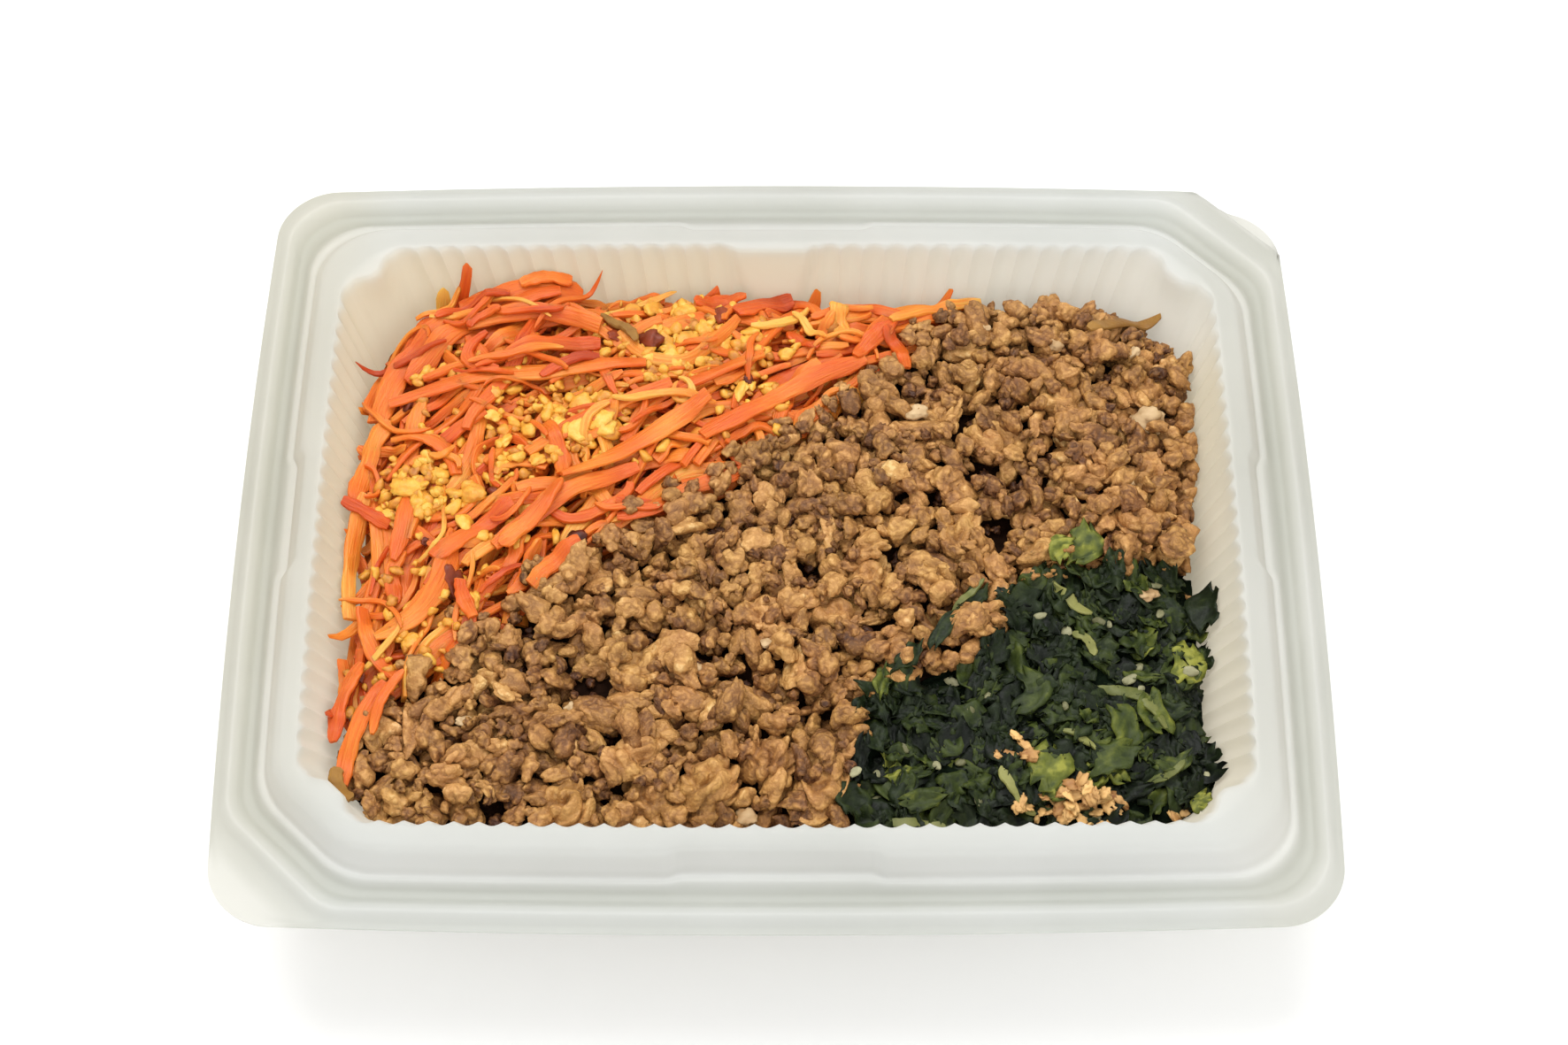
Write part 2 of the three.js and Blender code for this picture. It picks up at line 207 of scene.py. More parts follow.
class Surface:
    """A node material round one Principled shader."""

    def __init__(self, name, roughness, **sockets):
        self.material = bpy.data.materials.new(name)
        self.material.use_nodes = True
        self.tree = self.material.node_tree
        self.shader = self.tree.nodes["Principled BSDF"]
        self.shader.inputs["Roughness"].default_value = roughness
        for socket, value in sockets.items():
            self.shader.inputs[socket.replace("_", " ")].default_value = value
        self.place = self.node("ShaderNodeTexCoord").outputs["Object"]

    def node(self, kind, **settings):
        made = self.tree.nodes.new(kind)
        for key, value in settings.items():
            setattr(made, key, value)
        return made

    def link(self, source, target):
        self.tree.links.new(source, target)

    def noise(self, size, detail, stretch=(1, 1, 1), place=None):
        """Noise with features of about this many millimetres, over the object or a place in metres."""
        mapping = self.node("ShaderNodeMapping")
        mapping.inputs["Scale"].default_value = [1 / (size * MM * s) for s in stretch]
        texture = self.node("ShaderNodeTexNoise")
        texture.inputs["Scale"].default_value = 1.0
        texture.inputs["Detail"].default_value = detail
        self.link(place or self.place, mapping.inputs["Vector"])
        self.link(mapping.outputs["Vector"], texture.inputs["Vector"])
        return texture.outputs["Fac"]

    def attribute(self, name, output="Fac"):
        return self.node("ShaderNodeAttribute", attribute_name=name).outputs[output]

    def ramp(self, source, *stops):
        """Colours along a value: stops of a position and a linear colour."""
        made = self.node("ShaderNodeValToRGB")
        elements = made.color_ramp.elements
        while len(elements) < len(stops):
            elements.new(0.5)
        for element, (position, colour) in zip(elements, stops):
            element.position = position
            element.color = (*colour, 1)
        self.link(source, made.inputs["Fac"])
        return made.outputs["Color"]

    def screen_ramp(self, source, *stops):
        """Colours along a value: stops of a position, red, green and blue of the screen."""
        return self.ramp(source, *[(position, linear(*colour)) for position, *colour in stops])

    def math(self, operation, first, second=0):
        made = self.node("ShaderNodeMath", operation=operation)
        for socket, value in zip(made.inputs, (first, second)):
            if isinstance(value, (int, float)):
                socket.default_value = value
            else:
                self.link(value, socket)
        return made.outputs[0]

    def multiplied(self, *colours):
        """Two colours multiplied."""
        made = self.node("ShaderNodeMix", data_type="RGBA", blend_type="MULTIPLY")
        factor, *sockets = [s for s in made.inputs if s.enabled]
        factor.default_value = 1.0
        for socket, colour in zip(sockets, colours):
            self.link(colour, socket)
        return next(s for s in made.outputs if s.enabled)

    def colour(self, source):
        self.link(source, self.shader.inputs["Base Color"])

    def creases(self, size):
        """Round swellings parted by sharp hollows, of about this many millimetres."""
        from_middle = self.math("ABSOLUTE", self.math("SUBTRACT", self.noise(size, 3), 0.5))
        return self.math("MULTIPLY", from_middle, 4)

    def varied(self, attribute, grain, share):
        """A value that the mesh carries, with this share of a grain over it."""
        grainy = self.math("MULTIPLY", self.math("SUBTRACT", grain, 0.5), share)
        return self.math("ADD", self.attribute(attribute), grainy)

    def toned(self, grain, share, *stops):
        """Screen colours by the piece's own tone, with this share of a grain over it."""
        return self.screen_ramp(self.varied("tone", grain, share), *stops)

    def let_through(self, share, colour):
        """Lets this share of the light come through from behind."""
        behind = self.node("ShaderNodeBsdfTranslucent")
        self.link(colour, behind.inputs["Color"])
        mixer = self.node("ShaderNodeMixShader")
        mixer.inputs["Fac"].default_value = share
        self.link(self.shader.outputs["BSDF"], mixer.inputs[1])
        self.link(behind.outputs["BSDF"], mixer.inputs[2])
        self.link(mixer.outputs["Shader"], self.tree.nodes["Material Output"].inputs["Surface"])

    def bump(self, source, depth, strength=1.0):
        """Relief of about this many millimetres."""
        made = self.node("ShaderNodeBump")
        made.inputs["Distance"].default_value = depth * MM
        made.inputs["Strength"].default_value = strength
        self.link(source, made.inputs["Height"])
        self.link(made.outputs["Normal"], self.shader.inputs["Normal"])


def milky_plastic():
    """Milky; painted shade greys its grooves and folds, and a warm tint, heaviest beside the carrot,
    darkens the right wall as painted shade.
    """
    look = Surface("milky_plastic", 0.25, IOR=1.49)
    # Painted shade: grooves, folds and flange edges are coloured greyer, row by row.
    shade_amount = look.varied("painted_shade", look.noise(26, 2), 0.3)
    # Warm tint from the mesh; on the right wall it is painted shade.
    tint_colour = look.ramp(look.attribute("warm_tint_and_shade"), (0, (1, 1, 1)), (1, (0.96, 0.9, 0.77)))
    front = look.screen_ramp(shade_amount, (0, 224, 226, 226), (1, 187, 190, 184))
    behind = look.screen_ramp(shade_amount, (0, 253, 253, 253), (1, 225, 226, 221))
    look.colour(look.multiplied(front, tint_colour))
    look.bump(look.noise(5, 2), 0.04)
    look.let_through(0.6, look.multiplied(behind, tint_colour))
    return look.material


def carrot_flesh():
    look = Surface("carrot_flesh", 0.4, Specular_IOR_Level=0.35, Subsurface_Weight=0.35,
                   Subsurface_Scale=0.002)
    look.shader.inputs["Subsurface Radius"].default_value = (1.0, 0.5, 0.2)
    fibres = look.noise(1, 3, (0.35, 5, 1), look.attribute("fibre", "Vector"))
    look.colour(look.toned(fibres, 0.55, (0, 172, 62, 24), (0.25, 206, 84, 26), (0.55, 222, 111, 34),
                           (0.8, 229, 140, 50), (1, 232, 176, 80)))
    look.bump(fibres, 0.35, 0.8)
    return look.material


def meat():
    look = Surface("browned_meat", 0.5, Specular_IOR_Level=0.3)
    crease_relief_and_shade = look.creases(1.8)
    # The creases that raise the bump also darken the colour in their hollows: painted shade.
    browned = look.toned(crease_relief_and_shade, 0.38, (0.05, 70, 40, 24), (0.3, 126, 85, 49), (0.55, 175, 127, 74),
                         (0.8, 208, 159, 98), (1, 230, 191, 134))
    patches = look.ramp(look.noise(7, 2), (0.35, (0.97, 0.98, 0.85)), (0.65, (0.99, 0.93, 0.89)))
    look.colour(look.multiplied(browned, patches))
    look.bump(crease_relief_and_shade, 0.4, 0.7)
    return look.material


def grainy_food(name, roughness, grain, relief, *stops, **sockets):
    """A food coloured by piece and by grain; relief is a noise's size and detail, depth and strength."""
    look = Surface(name, roughness, **sockets)
    look.colour(look.toned(look.noise(grain, 3), 0.5, *stops))
    look.bump(look.noise(*relief[:2]), *relief[2:])
    return look.material


def egg():
    return grainy_food("egg", 0.45, 1.2, (0.8, 3, 0.3, 0.7), (0, 158, 90, 32), (0.35, 212, 142, 46),
                       (0.7, 234, 172, 60), (1, 242, 196, 94), Subsurface_Weight=0.15,
                       Subsurface_Scale=0.0015)


def leaf():
    return grainy_food("cooked_leaf", 0.48, 1.8, (1.1, 2, 0.3, 0.6), (0, 12, 18, 9), (0.35, 32, 42, 19),
                       (0.65, 62, 72, 28), (0.85, 100, 106, 40), (1, 146, 146, 62), Specular_IOR_Level=0.2)


def plain_food(name, dark, light, roughness):
    """A food of two colours."""
    return grainy_food(name, roughness, 1.5, (0.75, 3, 0.2, 0.6), (0.1, *dark), (0.9, *light),
                       Specular_IOR_Level=0.3)


def core_food(name, colour):
    look = Surface(name, 0.8, Specular_IOR_Level=0.05)
    light = linear(*colour)
    look.colour(look.ramp(look.noise(2, 4), (0.35, [0.5 * c for c in light]), (0.7, light)))
    look.bump(look.noise(1.5, 4), 0.6)
    return look.material


# -------- tray
# The section from the outermost edge inward: inset, level, radius of the plain corners, length (0 if
# there is none) and radius of the clipped ones, share of the notch, depth of the ribs, how grey painted
# shade makes it.
STATIONS = [
    (0, FLANGE_LEVEL - 0.3, 11, 0, 11, 0, 0, 0.7),
    (1.1, FLANGE_LEVEL - 0.1, 10, TAB_REACH, 8, 0, 0, 0.6),
    (2.7, FLANGE_LEVEL + 1, 10, TAB_REACH, 8.5, 0, 0, 0.45),
    (4, FLANGE_LEVEL + 0.1, 10, 17.4, 9, 0, 0, 0.65),
    (5, FLANGE_LEVEL - 1.1, 10.5, 17, 10, 0, 0, 0.9),
    (6.7, FLANGE_LEVEL - 1.1, 11, 16.3, 12, 0, 0, 0.9),
    (7.7, FLANGE_LEVEL - 0.1, 11, 15.7, 13, 0.6, 0, 0.5),
    (8.8, FLANGE_LEVEL - 0.4, 11.5, 15, 13, 1, 0, 0.3),
    (9.5, FLANGE_LEVEL + 1.2, 12, 14.5, 13, 1, 0, 0.15),
    (10.5, FLANGE_LEVEL + 3.1, 12, 14, 13, 1, 0, 0.3),
    (11.3, FLANGE_LEVEL + 4, 12, 13.3, 13, 0.8, 0, 0.4),
    (RING_INSET - 0.8, RING_LEVEL, 13, 9.5, 12.5, 0, 0, 0.5),
    (RIB_INSET, RIB_TOP_LEVEL + 0.1, 13, WALL_CLIP, WALL_CORNER_RADIUS, 0, RIB_DEPTH, 0.2),
    (RIB_INSET + 0.4, RIB_TOP_LEVEL - 1.2, 13, WALL_CLIP, WALL_CORNER_RADIUS, 0, RIB_DEPTH, 0),
    (WALL_FOOT_INSET, WALL_FOOT_LEVEL, 12, 0, 12, 0, 0.5, 0),
    (WALL_FOOT_INSET + 1.5, SHEET, 11, 0, 11, 0, 0, 0),
    (WALL_FOOT_INSET + 6, SHEET, 10, 0, 10, 0, 0, 0),
]
ROWS_PER_INTERVAL = [4, 4, 4, 4, 3, 3, 4, 4, 3, 3, 4, 2, 2, 10, 3, 1]
FOOT_ROWS = 4  # rows under which the sheet is at least its own thickness, straight down


def section_rows():
    """The stations with rows between them, slightly rounded, and each row's place among them."""
    table = []
    for inset, level, plain, length, radius, *rest in STATIONS:
        reach = length + radius * math.tan(math.pi / 8) if length else radius
        table.append([inset, level, plain, reach, radius, *rest])
    places = [k + step / count for k, count in enumerate(ROWS_PER_INTERVAL) for step in range(count)]
    places = np.array([*places, len(STATIONS) - 1])
    stations = np.arange(len(STATIONS))
    rows = np.stack([np.interp(places, stations, column) for column in np.transpose(table)], axis=1)
    rounded = rows.copy()
    rounded[1:-1, :2] = 0.25 * rows[:-2, :2] + 0.5 * rows[1:-1, :2] + 0.25 * rows[2:, :2]
    return rounded, places


def other_face(section):
    """The section's insets and levels, moved by the sheet's thickness to the underside."""
    steps = np.diff(section, axis=0)
    normals = np.stack([steps[:, 1], -steps[:, 0]], axis=1)
    normals /= np.linalg.norm(normals, axis=1, keepdims=True)
    before = np.vstack([normals[:1], normals])
    mean = before + np.vstack([normals, normals[-1:]])
    mean /= np.linalg.norm(mean, axis=1, keepdims=True)
    miter = SHEET / np.maximum((mean * before).sum(axis=1), 0.5)
    return section + mean * miter[:, None]


def corner_points(reach, radius, rib_depth, lug_depth):
    """Points round one corner, as distances in from both sides, with ribs and a lug in its middle."""
    share = np.linspace(0, 1, CORNER_STEPS + 1)
    angles = share * math.pi / 4
    in_lug = smoothstep(share, 0.45, 0.95)
    ribs = rib_depth * np.abs(np.sin(RIBS_PER_BEND * math.pi * share))
    push = ribs * (1 - in_lug) - lug_depth * in_lug
    bend = np.stack([
        radius * (1 - np.cos(angles)) - push * np.cos(angles),
        reach - radius * np.sin(angles) - push * np.sin(angles),
    ], axis=1)
    return np.vstack([bend, bend[::-1, ::-1]])


def bowed(x, y):
    """Points of a straight-sided outline, moved onto the bulging one."""
    bent_x = x * (1 - (BOW_ALONG_X / HALF_LENGTH) * (y / HALF_DEPTH) ** 2)
    bent_y = y * (1 - (BOW_ALONG_Y / HALF_DEPTH) * (x / HALF_LENGTH) ** 2)
    return bent_x, bent_y


def half_sizes(inset):
    """Half the tray's length and depth, this far in from its edge."""
    return HALF_LENGTH - inset, HALF_DEPTH - inset - LONG_SIDE_EXTRA * np.minimum(inset, RING_INSET)


def side_points(side, out, level, notch, rib_depth, start, end):
    """Distances across and along one side, with its ribs, notch and arched lug."""
    is_long = side % 2 == 1
    ribs = RIBS_PER_LONG_SIDE if is_long else RIBS_PER_SHORT_SIDE
    share = np.linspace(-1, 1, ribs * POINTS_PER_RIB + 1)[1:-1]
    along = (start + end) / 2 + share * (end - start) / 2
    centre, length = LONG_NOTCH if is_long else SHORT_NOTCH
    from_notch = np.abs(along - (centre if side < 2 else -centre))
    in_notch = 1 - smoothstep(from_notch, (length - NOTCH_RAMP) / 2, (length + NOTCH_RAMP) / 2)
    flutes = np.abs(np.sin(math.pi * ribs * (share + 1) / 2))
    across = out - NOTCH_DEPTH * notch * in_notch
    if side != 1:
        return across + rib_depth * flutes, along
    arch = (along + ARCH_LUG["centre"]) / ARCH_LUG["half_width"]
    fall = (RIB_TOP_LEVEL - level) / ARCH_LUG["drop"]
    inside = np.clip(1 - arch**2 - max(fall, 0) ** 2, 0, 1) * (rib_depth > 0)
    bulge = smoothstep(inside, 0, 0.4)
    return across + rib_depth * flutes * (1 - bulge) - ARCH_LUG["depth"] * bulge, along


def outline(row):
    """One closed loop round the tray, seen from above, anticlockwise from the corner at +X -Y."""
    inset, level, plain, clip_reach, clip_radius, notch, rib_depth, _ = row
    corners = [(clip_reach, clip_radius), (plain, plain)] * 2
    fall = (RIB_TOP_LEVEL - level) / CORNER_LUG["drop"]
    lug = CORNER_LUG["depth"] * (rib_depth > 0) * math.exp(-(fall**2))
    loop = []
    for side, (cos, sin) in enumerate([(1, 0), (0, 1), (-1, 0), (0, -1)]):
        out, reach_along = half_sizes(inset)[::-1] if side % 2 else half_sizes(inset)
        start = -reach_along + corners[side - 1][0]
        end = reach_along - corners[side][0]
        across, along = side_points(side, out, level, notch, rib_depth, start, end)
        bend = corner_points(*corners[side], rib_depth, lug)
        across = np.concatenate([across, out - bend[:, 0]])
        along = np.concatenate([along, reach_along - bend[:, 1]])
        loop.append(np.stack(bowed(across * cos - along * sin, across * sin + along * cos), axis=1))
    return np.vstack(loop)


def warm_tint_and_shade_at(inset, x, y):
    """How much warm tint the plastic takes: most on the wall beside the carrot, a little on the rim, and
    more on the right wall as painted shade.
    """
    by_carrot = smoothstep(carrot_border(y) - x, -25, 60)
    by_greens = smoothstep(x, 20, 60) * smoothstep(-y, -40, 15)
    # Painted shade: the right wall beside the greens is tinted darker.
    right = smoothstep(x, 60, 76) * smoothstep(-y, -50, -30)
    on_wall = smoothstep(inset, RIB_INSET - 1, RIB_INSET + 1)
    warmth = np.clip(0.45 + 0.55 * by_carrot - 0.2 * by_greens, 0, 1)
    short_sides = smoothstep(np.abs(x), 72, 90)
    on_rim = (0.1 + 0.2 * short_sides) * warmth + 0.12 * short_sides
    return on_rim * (1 - on_wall) + on_wall * np.minimum(warmth + 0.5 * right, 1)


def bent_down(flat, level, weight):
    """A loop at its level, with this share of the back tab's bend for each point."""
    return np.column_stack([flat, np.full(len(flat), level)]) + weight[:, None] * TAB_SHIFT


def make_tray():
    rows, places = section_rows()
    under = rows.copy()
    under[:, :2] = other_face(rows[:, :2])
    under[0, :2] = [0, rows[0, 1] - SHEET]
    under[-FOOT_ROWS:, 1] = np.minimum(under[-FOOT_ROWS:, 1], rows[-FOOT_ROWS:, 1] - SHEET)
    upper_loops, under_loops, painted_shades, tints = [], [], [], []
    for row, row_under, tabbed in zip(rows, under, np.clip(TAB_STATIONS - places, 0, 1)):
        flat = outline(row)
        beyond = (flat.sum(axis=1) - CLIP_LINE) / math.sqrt(2)
        weight = smoothstep(beyond, *TAB_BEND) * tabbed
        upper_loops.append(bent_down(flat, row[1], weight))
        under_loops.append(bent_down(outline(row_under), row_under[1], weight))
        # Painted shade per row, eased towards the tab's lighter value on the tab.
        on_tab = smoothstep(np.abs(flat.sum(axis=1)) - CLIP_LINE, -0.5, 2) * min(2.5 * tabbed, 1)
        painted_shades.append(row[-1] + (TAB_PAINTED_SHADE - row[-1]) * on_tab)
        tints.append(warm_tint_and_shade_at(row[0], *flat.T))
    loops = upper_loops[::-1] + under_loops
    points = np.vstack([*loops, [[0, 0, SHEET], [0, 0, 0]]])
    attributes = {
        "painted_shade": np.concatenate([*painted_shades[::-1], *painted_shades, [0, 0]]),
        "warm_tint_and_shade": np.concatenate([*tints[::-1], *tints, [0, 0]]),
    }
    faces = tube_faces(len(loops), len(loops[0]))
    tray = add_mesh("tray_shell", points, faces, milky_plastic(), attributes)
    turn_outward(tray, join_points=True)
    tray.data.set_sharp_from_angle(angle=math.radians(45))
    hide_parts("tray")


# -------- the space for the food
def outside_by(x, y, level):
    """How far a point lies outside the wall's inner face at a level; less than 0 is inside."""
    half_x, half_y = half_sizes(RIB_INSET + (RIB_TOP_LEVEL - level) * math.tan(DRAFT))
    x = x / (1 - (BOW_ALONG_X / HALF_LENGTH) * (y / HALF_DEPTH) ** 2)
    y = y / (1 - (BOW_ALONG_Y / HALF_DEPTH) * (x / HALF_LENGTH) ** 2)
    radius = WALL_CORNER_RADIUS
    over_x, over_y = np.abs(x) - (half_x - radius), np.abs(y) - (half_y - radius)
    straight = np.minimum(np.maximum(over_x, over_y), 0)
    rounded = np.hypot(np.maximum(over_x, 0), np.maximum(over_y, 0)) + straight - radius
    clip = WALL_CLIP - WALL_CLIP_LESS * (RIB_TOP_LEVEL - level) / RIB_TOP_LEVEL
    clipped = (np.abs(x + y) - (half_x + half_y - clip)) / math.sqrt(2)
    return np.maximum(rounded, clipped)


def kept_inside(points):
    """The points, moved straight inward where they would pass through the wall."""
    x, y, z = points.T
    beyond = np.maximum(outside_by(x, y, z) + WALL_GAP, 0)
    slope_x = outside_by(x + 0.5, y, z) - outside_by(x - 0.5, y, z)
    slope_y = outside_by(x, y + 0.5, z) - outside_by(x, y - 0.5, z)
    return points - np.column_stack([beyond * slope_x, beyond * slope_y, np.zeros(len(x))])


def wall_height(x, y):
    """The level at which a point lies on the tray's sloping wall, or the floor's inside it."""
    height = np.full(np.shape(x), FLOOR_LEVEL)
    for level in np.arange(FLOOR_LEVEL, RING_LEVEL, 0.25):
        height = np.where(outside_by(x, y, level) > 0, level, height)
    return height


def food_top(x, y):
    """The heap's surface without its relief: low along its outline, with a shoulder and a crown."""
    cuts = CORNER_CUTS
    back = np.where(x < 0, cuts["back_left"], cuts["back_right"])
    front = np.where(x < 0, cuts["front_left"], cuts["front_right"])
    to_x, to_y = FOOD_HALF_LENGTH - np.abs(x), FOOD_HALF_DEPTH - np.abs(y)
    to_cut = (to_x + to_y - np.where(y > 0, back, front)) / math.sqrt(2)
    inside = np.minimum(np.minimum(to_x, to_y), to_cut)
    crown = FOOD_CROWN * (1 - (x / FOOD_HALF_LENGTH) ** 2) * (1 - (y / FOOD_HALF_DEPTH) ** 2)
    shoulder = FOOD_SHOULDER * (1 - np.exp(-np.maximum(inside, 0) / FOOD_SHOULDER_WIDTH))
    beyond = np.maximum(1.2 * np.minimum(inside, 0), -6)
    return FOOD_EDGE_LEVEL + shoulder + np.maximum(crown, 0) + beyond


def food_half_length(y):
    """Where the heap's edge meets the wall, along a row."""
    tries = np.arange(60, 82, 0.5)
    reach = np.full(np.shape(y), tries[0])
    for x in tries:
        reach = np.where(outside_by(x + 0 * y, y, FOOD_EDGE_LEVEL - 3) < -0.6, x, reach)
    return reach


def carrot_border(y):
    """The carrot's edge towards the meat: x for each y."""
    return -77 + 1.06 * (y + 48) - 7 * np.cos((y + 25) / 19) + 1.6 * np.sin(y / 4.6)


def greens_border(y):
    """The greens' edge towards the meat: x for each y."""
    flare = 40 * np.minimum(np.maximum((y + 20) / 18, 0) ** 5, 4)
    return 12 + 27 * smoothstep(y, -40, -17) + flare + 1.2 * np.sin(y / 4.1)


def in_carrot(x, y):
    return x < carrot_border(y) - 1.5


def in_meat(x, y):
    return carrot_border(y) - 2 < x < greens_border(y) + 1


def in_greens(x, y):
    return x > greens_border(y) - 0.5 and y < 0


# -------- cores
def make_core(name, material, front, back, left, right):
    """A heap's core: from the tray's floor and wall up to below the surface, between two borders."""
    y = np.linspace(front, back, CORE_ROWS)[:, None]
    low_x, high_x = left(y), np.maximum(right(y), left(y) + 0.5)
    x = low_x + (high_x - low_x) * np.linspace(0, 1, CORE_COLUMNS)[None, :]
    y = np.broadcast_to(y, x.shape)
    bottom = wall_height(x, y) + CORE_LIFT
    relief = 0.5 * np.sin(x * 1.9 + 2 * np.sin(y * 0.8)) * np.sin(y * 2.1 + 2 * np.sin(x * 0.7))
    top = np.maximum(food_top(x, y) - CORE_DROP + relief, bottom + CORE_LEAST)
    points = np.vstack([np.stack([x, y, level], axis=-1).reshape(-1, 3) for level in (top, bottom)])
    core = add_mesh(f"{name}_core", points, sheet_faces(CORE_ROWS, CORE_COLUMNS), material)
    turn_outward(core)
    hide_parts(name)


def make_cores():
    back = FOOD_HALF_DEPTH - CORE_MARGIN
    make_core("carrot_salad", core_food("carrot_depth", (190, 98, 38)), -46, back,
              lambda y: -food_half_length(y),
              lambda y: carrot_border(y) - 0.2)
    # The meat's core is coloured near black: painted shade at the bottom of the open places.
    make_core("minced_meat", core_food("meat_core_painted_shade", (44, 26, 16)), -back, back,
              lambda y: np.maximum(carrot_border(y) + 0.2, -food_half_length(y)),
              lambda y: np.minimum(greens_border(y) - 0.2, food_half_length(y)))
    make_core("greens", core_food("leaf_depth", (16, 26, 14)), -back, -4,
              lambda y: np.minimum(greens_border(y) + 0.2, food_half_length(y) - 1),
              food_half_length)


# -------- the pile
class Pile:
    """A height map of what already lies in the tray."""

    def __init__(self):
        self.x = np.arange(-MAP_HALF_LENGTH, MAP_HALF_LENGTH + CELL, CELL)
        self.y = np.arange(-MAP_HALF_DEPTH, MAP_HALF_DEPTH + CELL, CELL)
        grid_x, grid_y = np.meshgrid(self.x, self.y, indexing="ij")
        self.wall = wall_height(grid_x, grid_y)
        self.target = food_top(grid_x, grid_y)
        self.height = np.maximum(self.target - CORE_DROP, self.wall)
        self.closed = np.zeros(self.wall.shape, bool)
        for dip in EDGE_DIPS:
            self.hollow(*dip)
        along, across = grid_x / 5.3 + np.sin(grid_y / 7), grid_y / 4.7 + np.sin(grid_x / 9)
        self.target += FOOD_RELIEF * np.sin(along) * np.sin(across)

    def cells(self, x, y):
        i = np.clip(np.round((np.asarray(x) - self.x[0]) / CELL).astype(int), 0, len(self.x) - 1)
        j = np.clip(np.round((np.asarray(y) - self.y[0]) / CELL).astype(int), 0, len(self.y) - 1)
        return i, j

    def read(self, layer, x, y):
        return layer[self.cells(x, y)]

    def clearance(self, x, y, level):
        """How far a point is from the wall."""
        return (level - self.read(self.wall, x, y)) * math.sin(DRAFT)

    def window(self, x, y, reach):
        """The cells within reach of a point, and their offsets from it."""
        i, j = self.cells(x, y)
        n = int(math.ceil(reach / CELL))
        rows, columns = slice(max(i - n, 0), i + n + 1), slice(max(j - n, 0), j + n + 1)
        off_x, off_y = np.meshgrid(self.x[rows] - x, self.y[columns] - y, indexing="ij")
        return (rows, columns), off_x, off_y

    def rest_level(self, x, y, reach, share):
        """The height that this share of the ground under a round thing stays below."""
        where, off_x, off_y = self.window(x, y, reach)
        under = self.height[where][off_x**2 + off_y**2 <= reach**2]
        return float(np.quantile(under, share))

    def cover_round(self, x, y, level, half, turn):
        """Raises the map over an ellipsoid with its middle at that level."""
        where, off_x, off_y = self.window(x, y, max(half[:2]))
        along = (off_x * math.cos(turn) + off_y * math.sin(turn)) / half[0]
        across = (off_y * math.cos(turn) - off_x * math.sin(turn)) / half[1]
        rise = np.sqrt(np.maximum(1 - along**2 - across**2, 0))
        top = np.where(rise > 0, level + half[2] * rise, 0)
        self.height[where] = np.maximum(self.height[where], top)

    def cover_points(self, x, y, top):
        np.maximum.at(self.height, self.cells(x, y), top)

    def keep_open(self, x, y, radius):
        """Nothing is laid with its middle here."""
        where, off_x, off_y = self.window(x, y, radius + 2)
        self.closed[where] |= off_x**2 + off_y**2 < (radius + GAP_MARGIN) ** 2

    def hollow(self, x, y, radius):
        """Aims lower round a place."""
        where, off_x, off_y = self.window(x, y, 3 * radius)
        self.target[where] -= HOLLOW_DEPTH * np.exp(-(off_x**2 + off_y**2) / (0.8 * radius + 0.8) ** 2)

    def lowest_spot(self, inside, margin, tries):
        """Of several chance places, the one where most is missing to the heap's surface."""
        best, most = None, -math.inf
        for _ in range(tries):
            x = dice.uniform(-FOOD_HALF_LENGTH, FOOD_HALF_LENGTH)
            y = dice.uniform(-FOOD_HALF_DEPTH, FOOD_HALF_DEPTH)
            if not inside(x, y) or self.read(self.closed, x, y):
                continue
            target = self.read(self.target, x, y)
            missing = target - self.read(self.height, x, y)
            if self.clearance(x, y, target) >= margin and missing > most:
                best, most = (x, y), missing
        return best, most


class Joined:
    """Pieces of one kind, all with the same faces, laid on the pile and joined into one mesh."""

    def __init__(self, pile, piece_faces):
        self.pile = pile
        self.piece_faces = piece_faces
        self.points, self.tones = [], []

    def finish(self, name, material, slot=None, sharp_angle=None, **attributes):
        size = len(self.points[0])
        starts = range(0, size * len(self.points), size)
        faces = [[start + corner for corner in face] for start in starts for face in self.piece_faces]
        attributes = {"tone": np.concatenate(self.tones), **attributes}
        add_mesh(name, kept_inside(np.vstack(self.points)), faces, material, attributes, sharp_angle)


# -------- lumps
# Painted shade on every lump: its hollows and its underside are coloured darker.
HOLLOW_SHADE = 0.3  # how much darker a lump's hollows are than its swellings
UNDERSIDE_SHADE = 0.2


def ball(subdivisions):
    made = bmesh.new()
    bmesh.ops.create_icosphere(made, subdivisions=subdivisions, radius=1)
    points = np.array([v.co for v in made.verts])
    faces = [[v.index for v in f.verts] for f in made.faces]
    made.free()
    return points, faces


def turned(turn, tilt_x, tilt_y):
    """Rotation matrix: first tilted about X and Y, then turned about Z."""
    cx, sx, cy, sy, cz, sz = (f(a) for a in (tilt_x, tilt_y, turn) for f in (math.cos, math.sin))
    about_x = np.array([[1, 0, 0], [0, cx, -sx], [0, sx, cx]])
    about_y = np.array([[cy, 0, sy], [0, 1, 0], [-sy, 0, cy]])
    about_z = np.array([[cz, -sz, 0], [sz, cz, 0], [0, 0, 1]])
    return about_z @ about_y @ about_x


def waves(points, pitch, count=4):
    """A smooth random field over the points, mostly between -1 and 1."""
    field = np.zeros(len(points))
    for _ in range(count):
        direction = dice.normal(size=3)
        direction *= pitch * dice.uniform(0.7, 1.3) / np.linalg.norm(direction)
        field += np.sin(points @ direction + dice.uniform(0, 7))
    return field / math.sqrt(count)


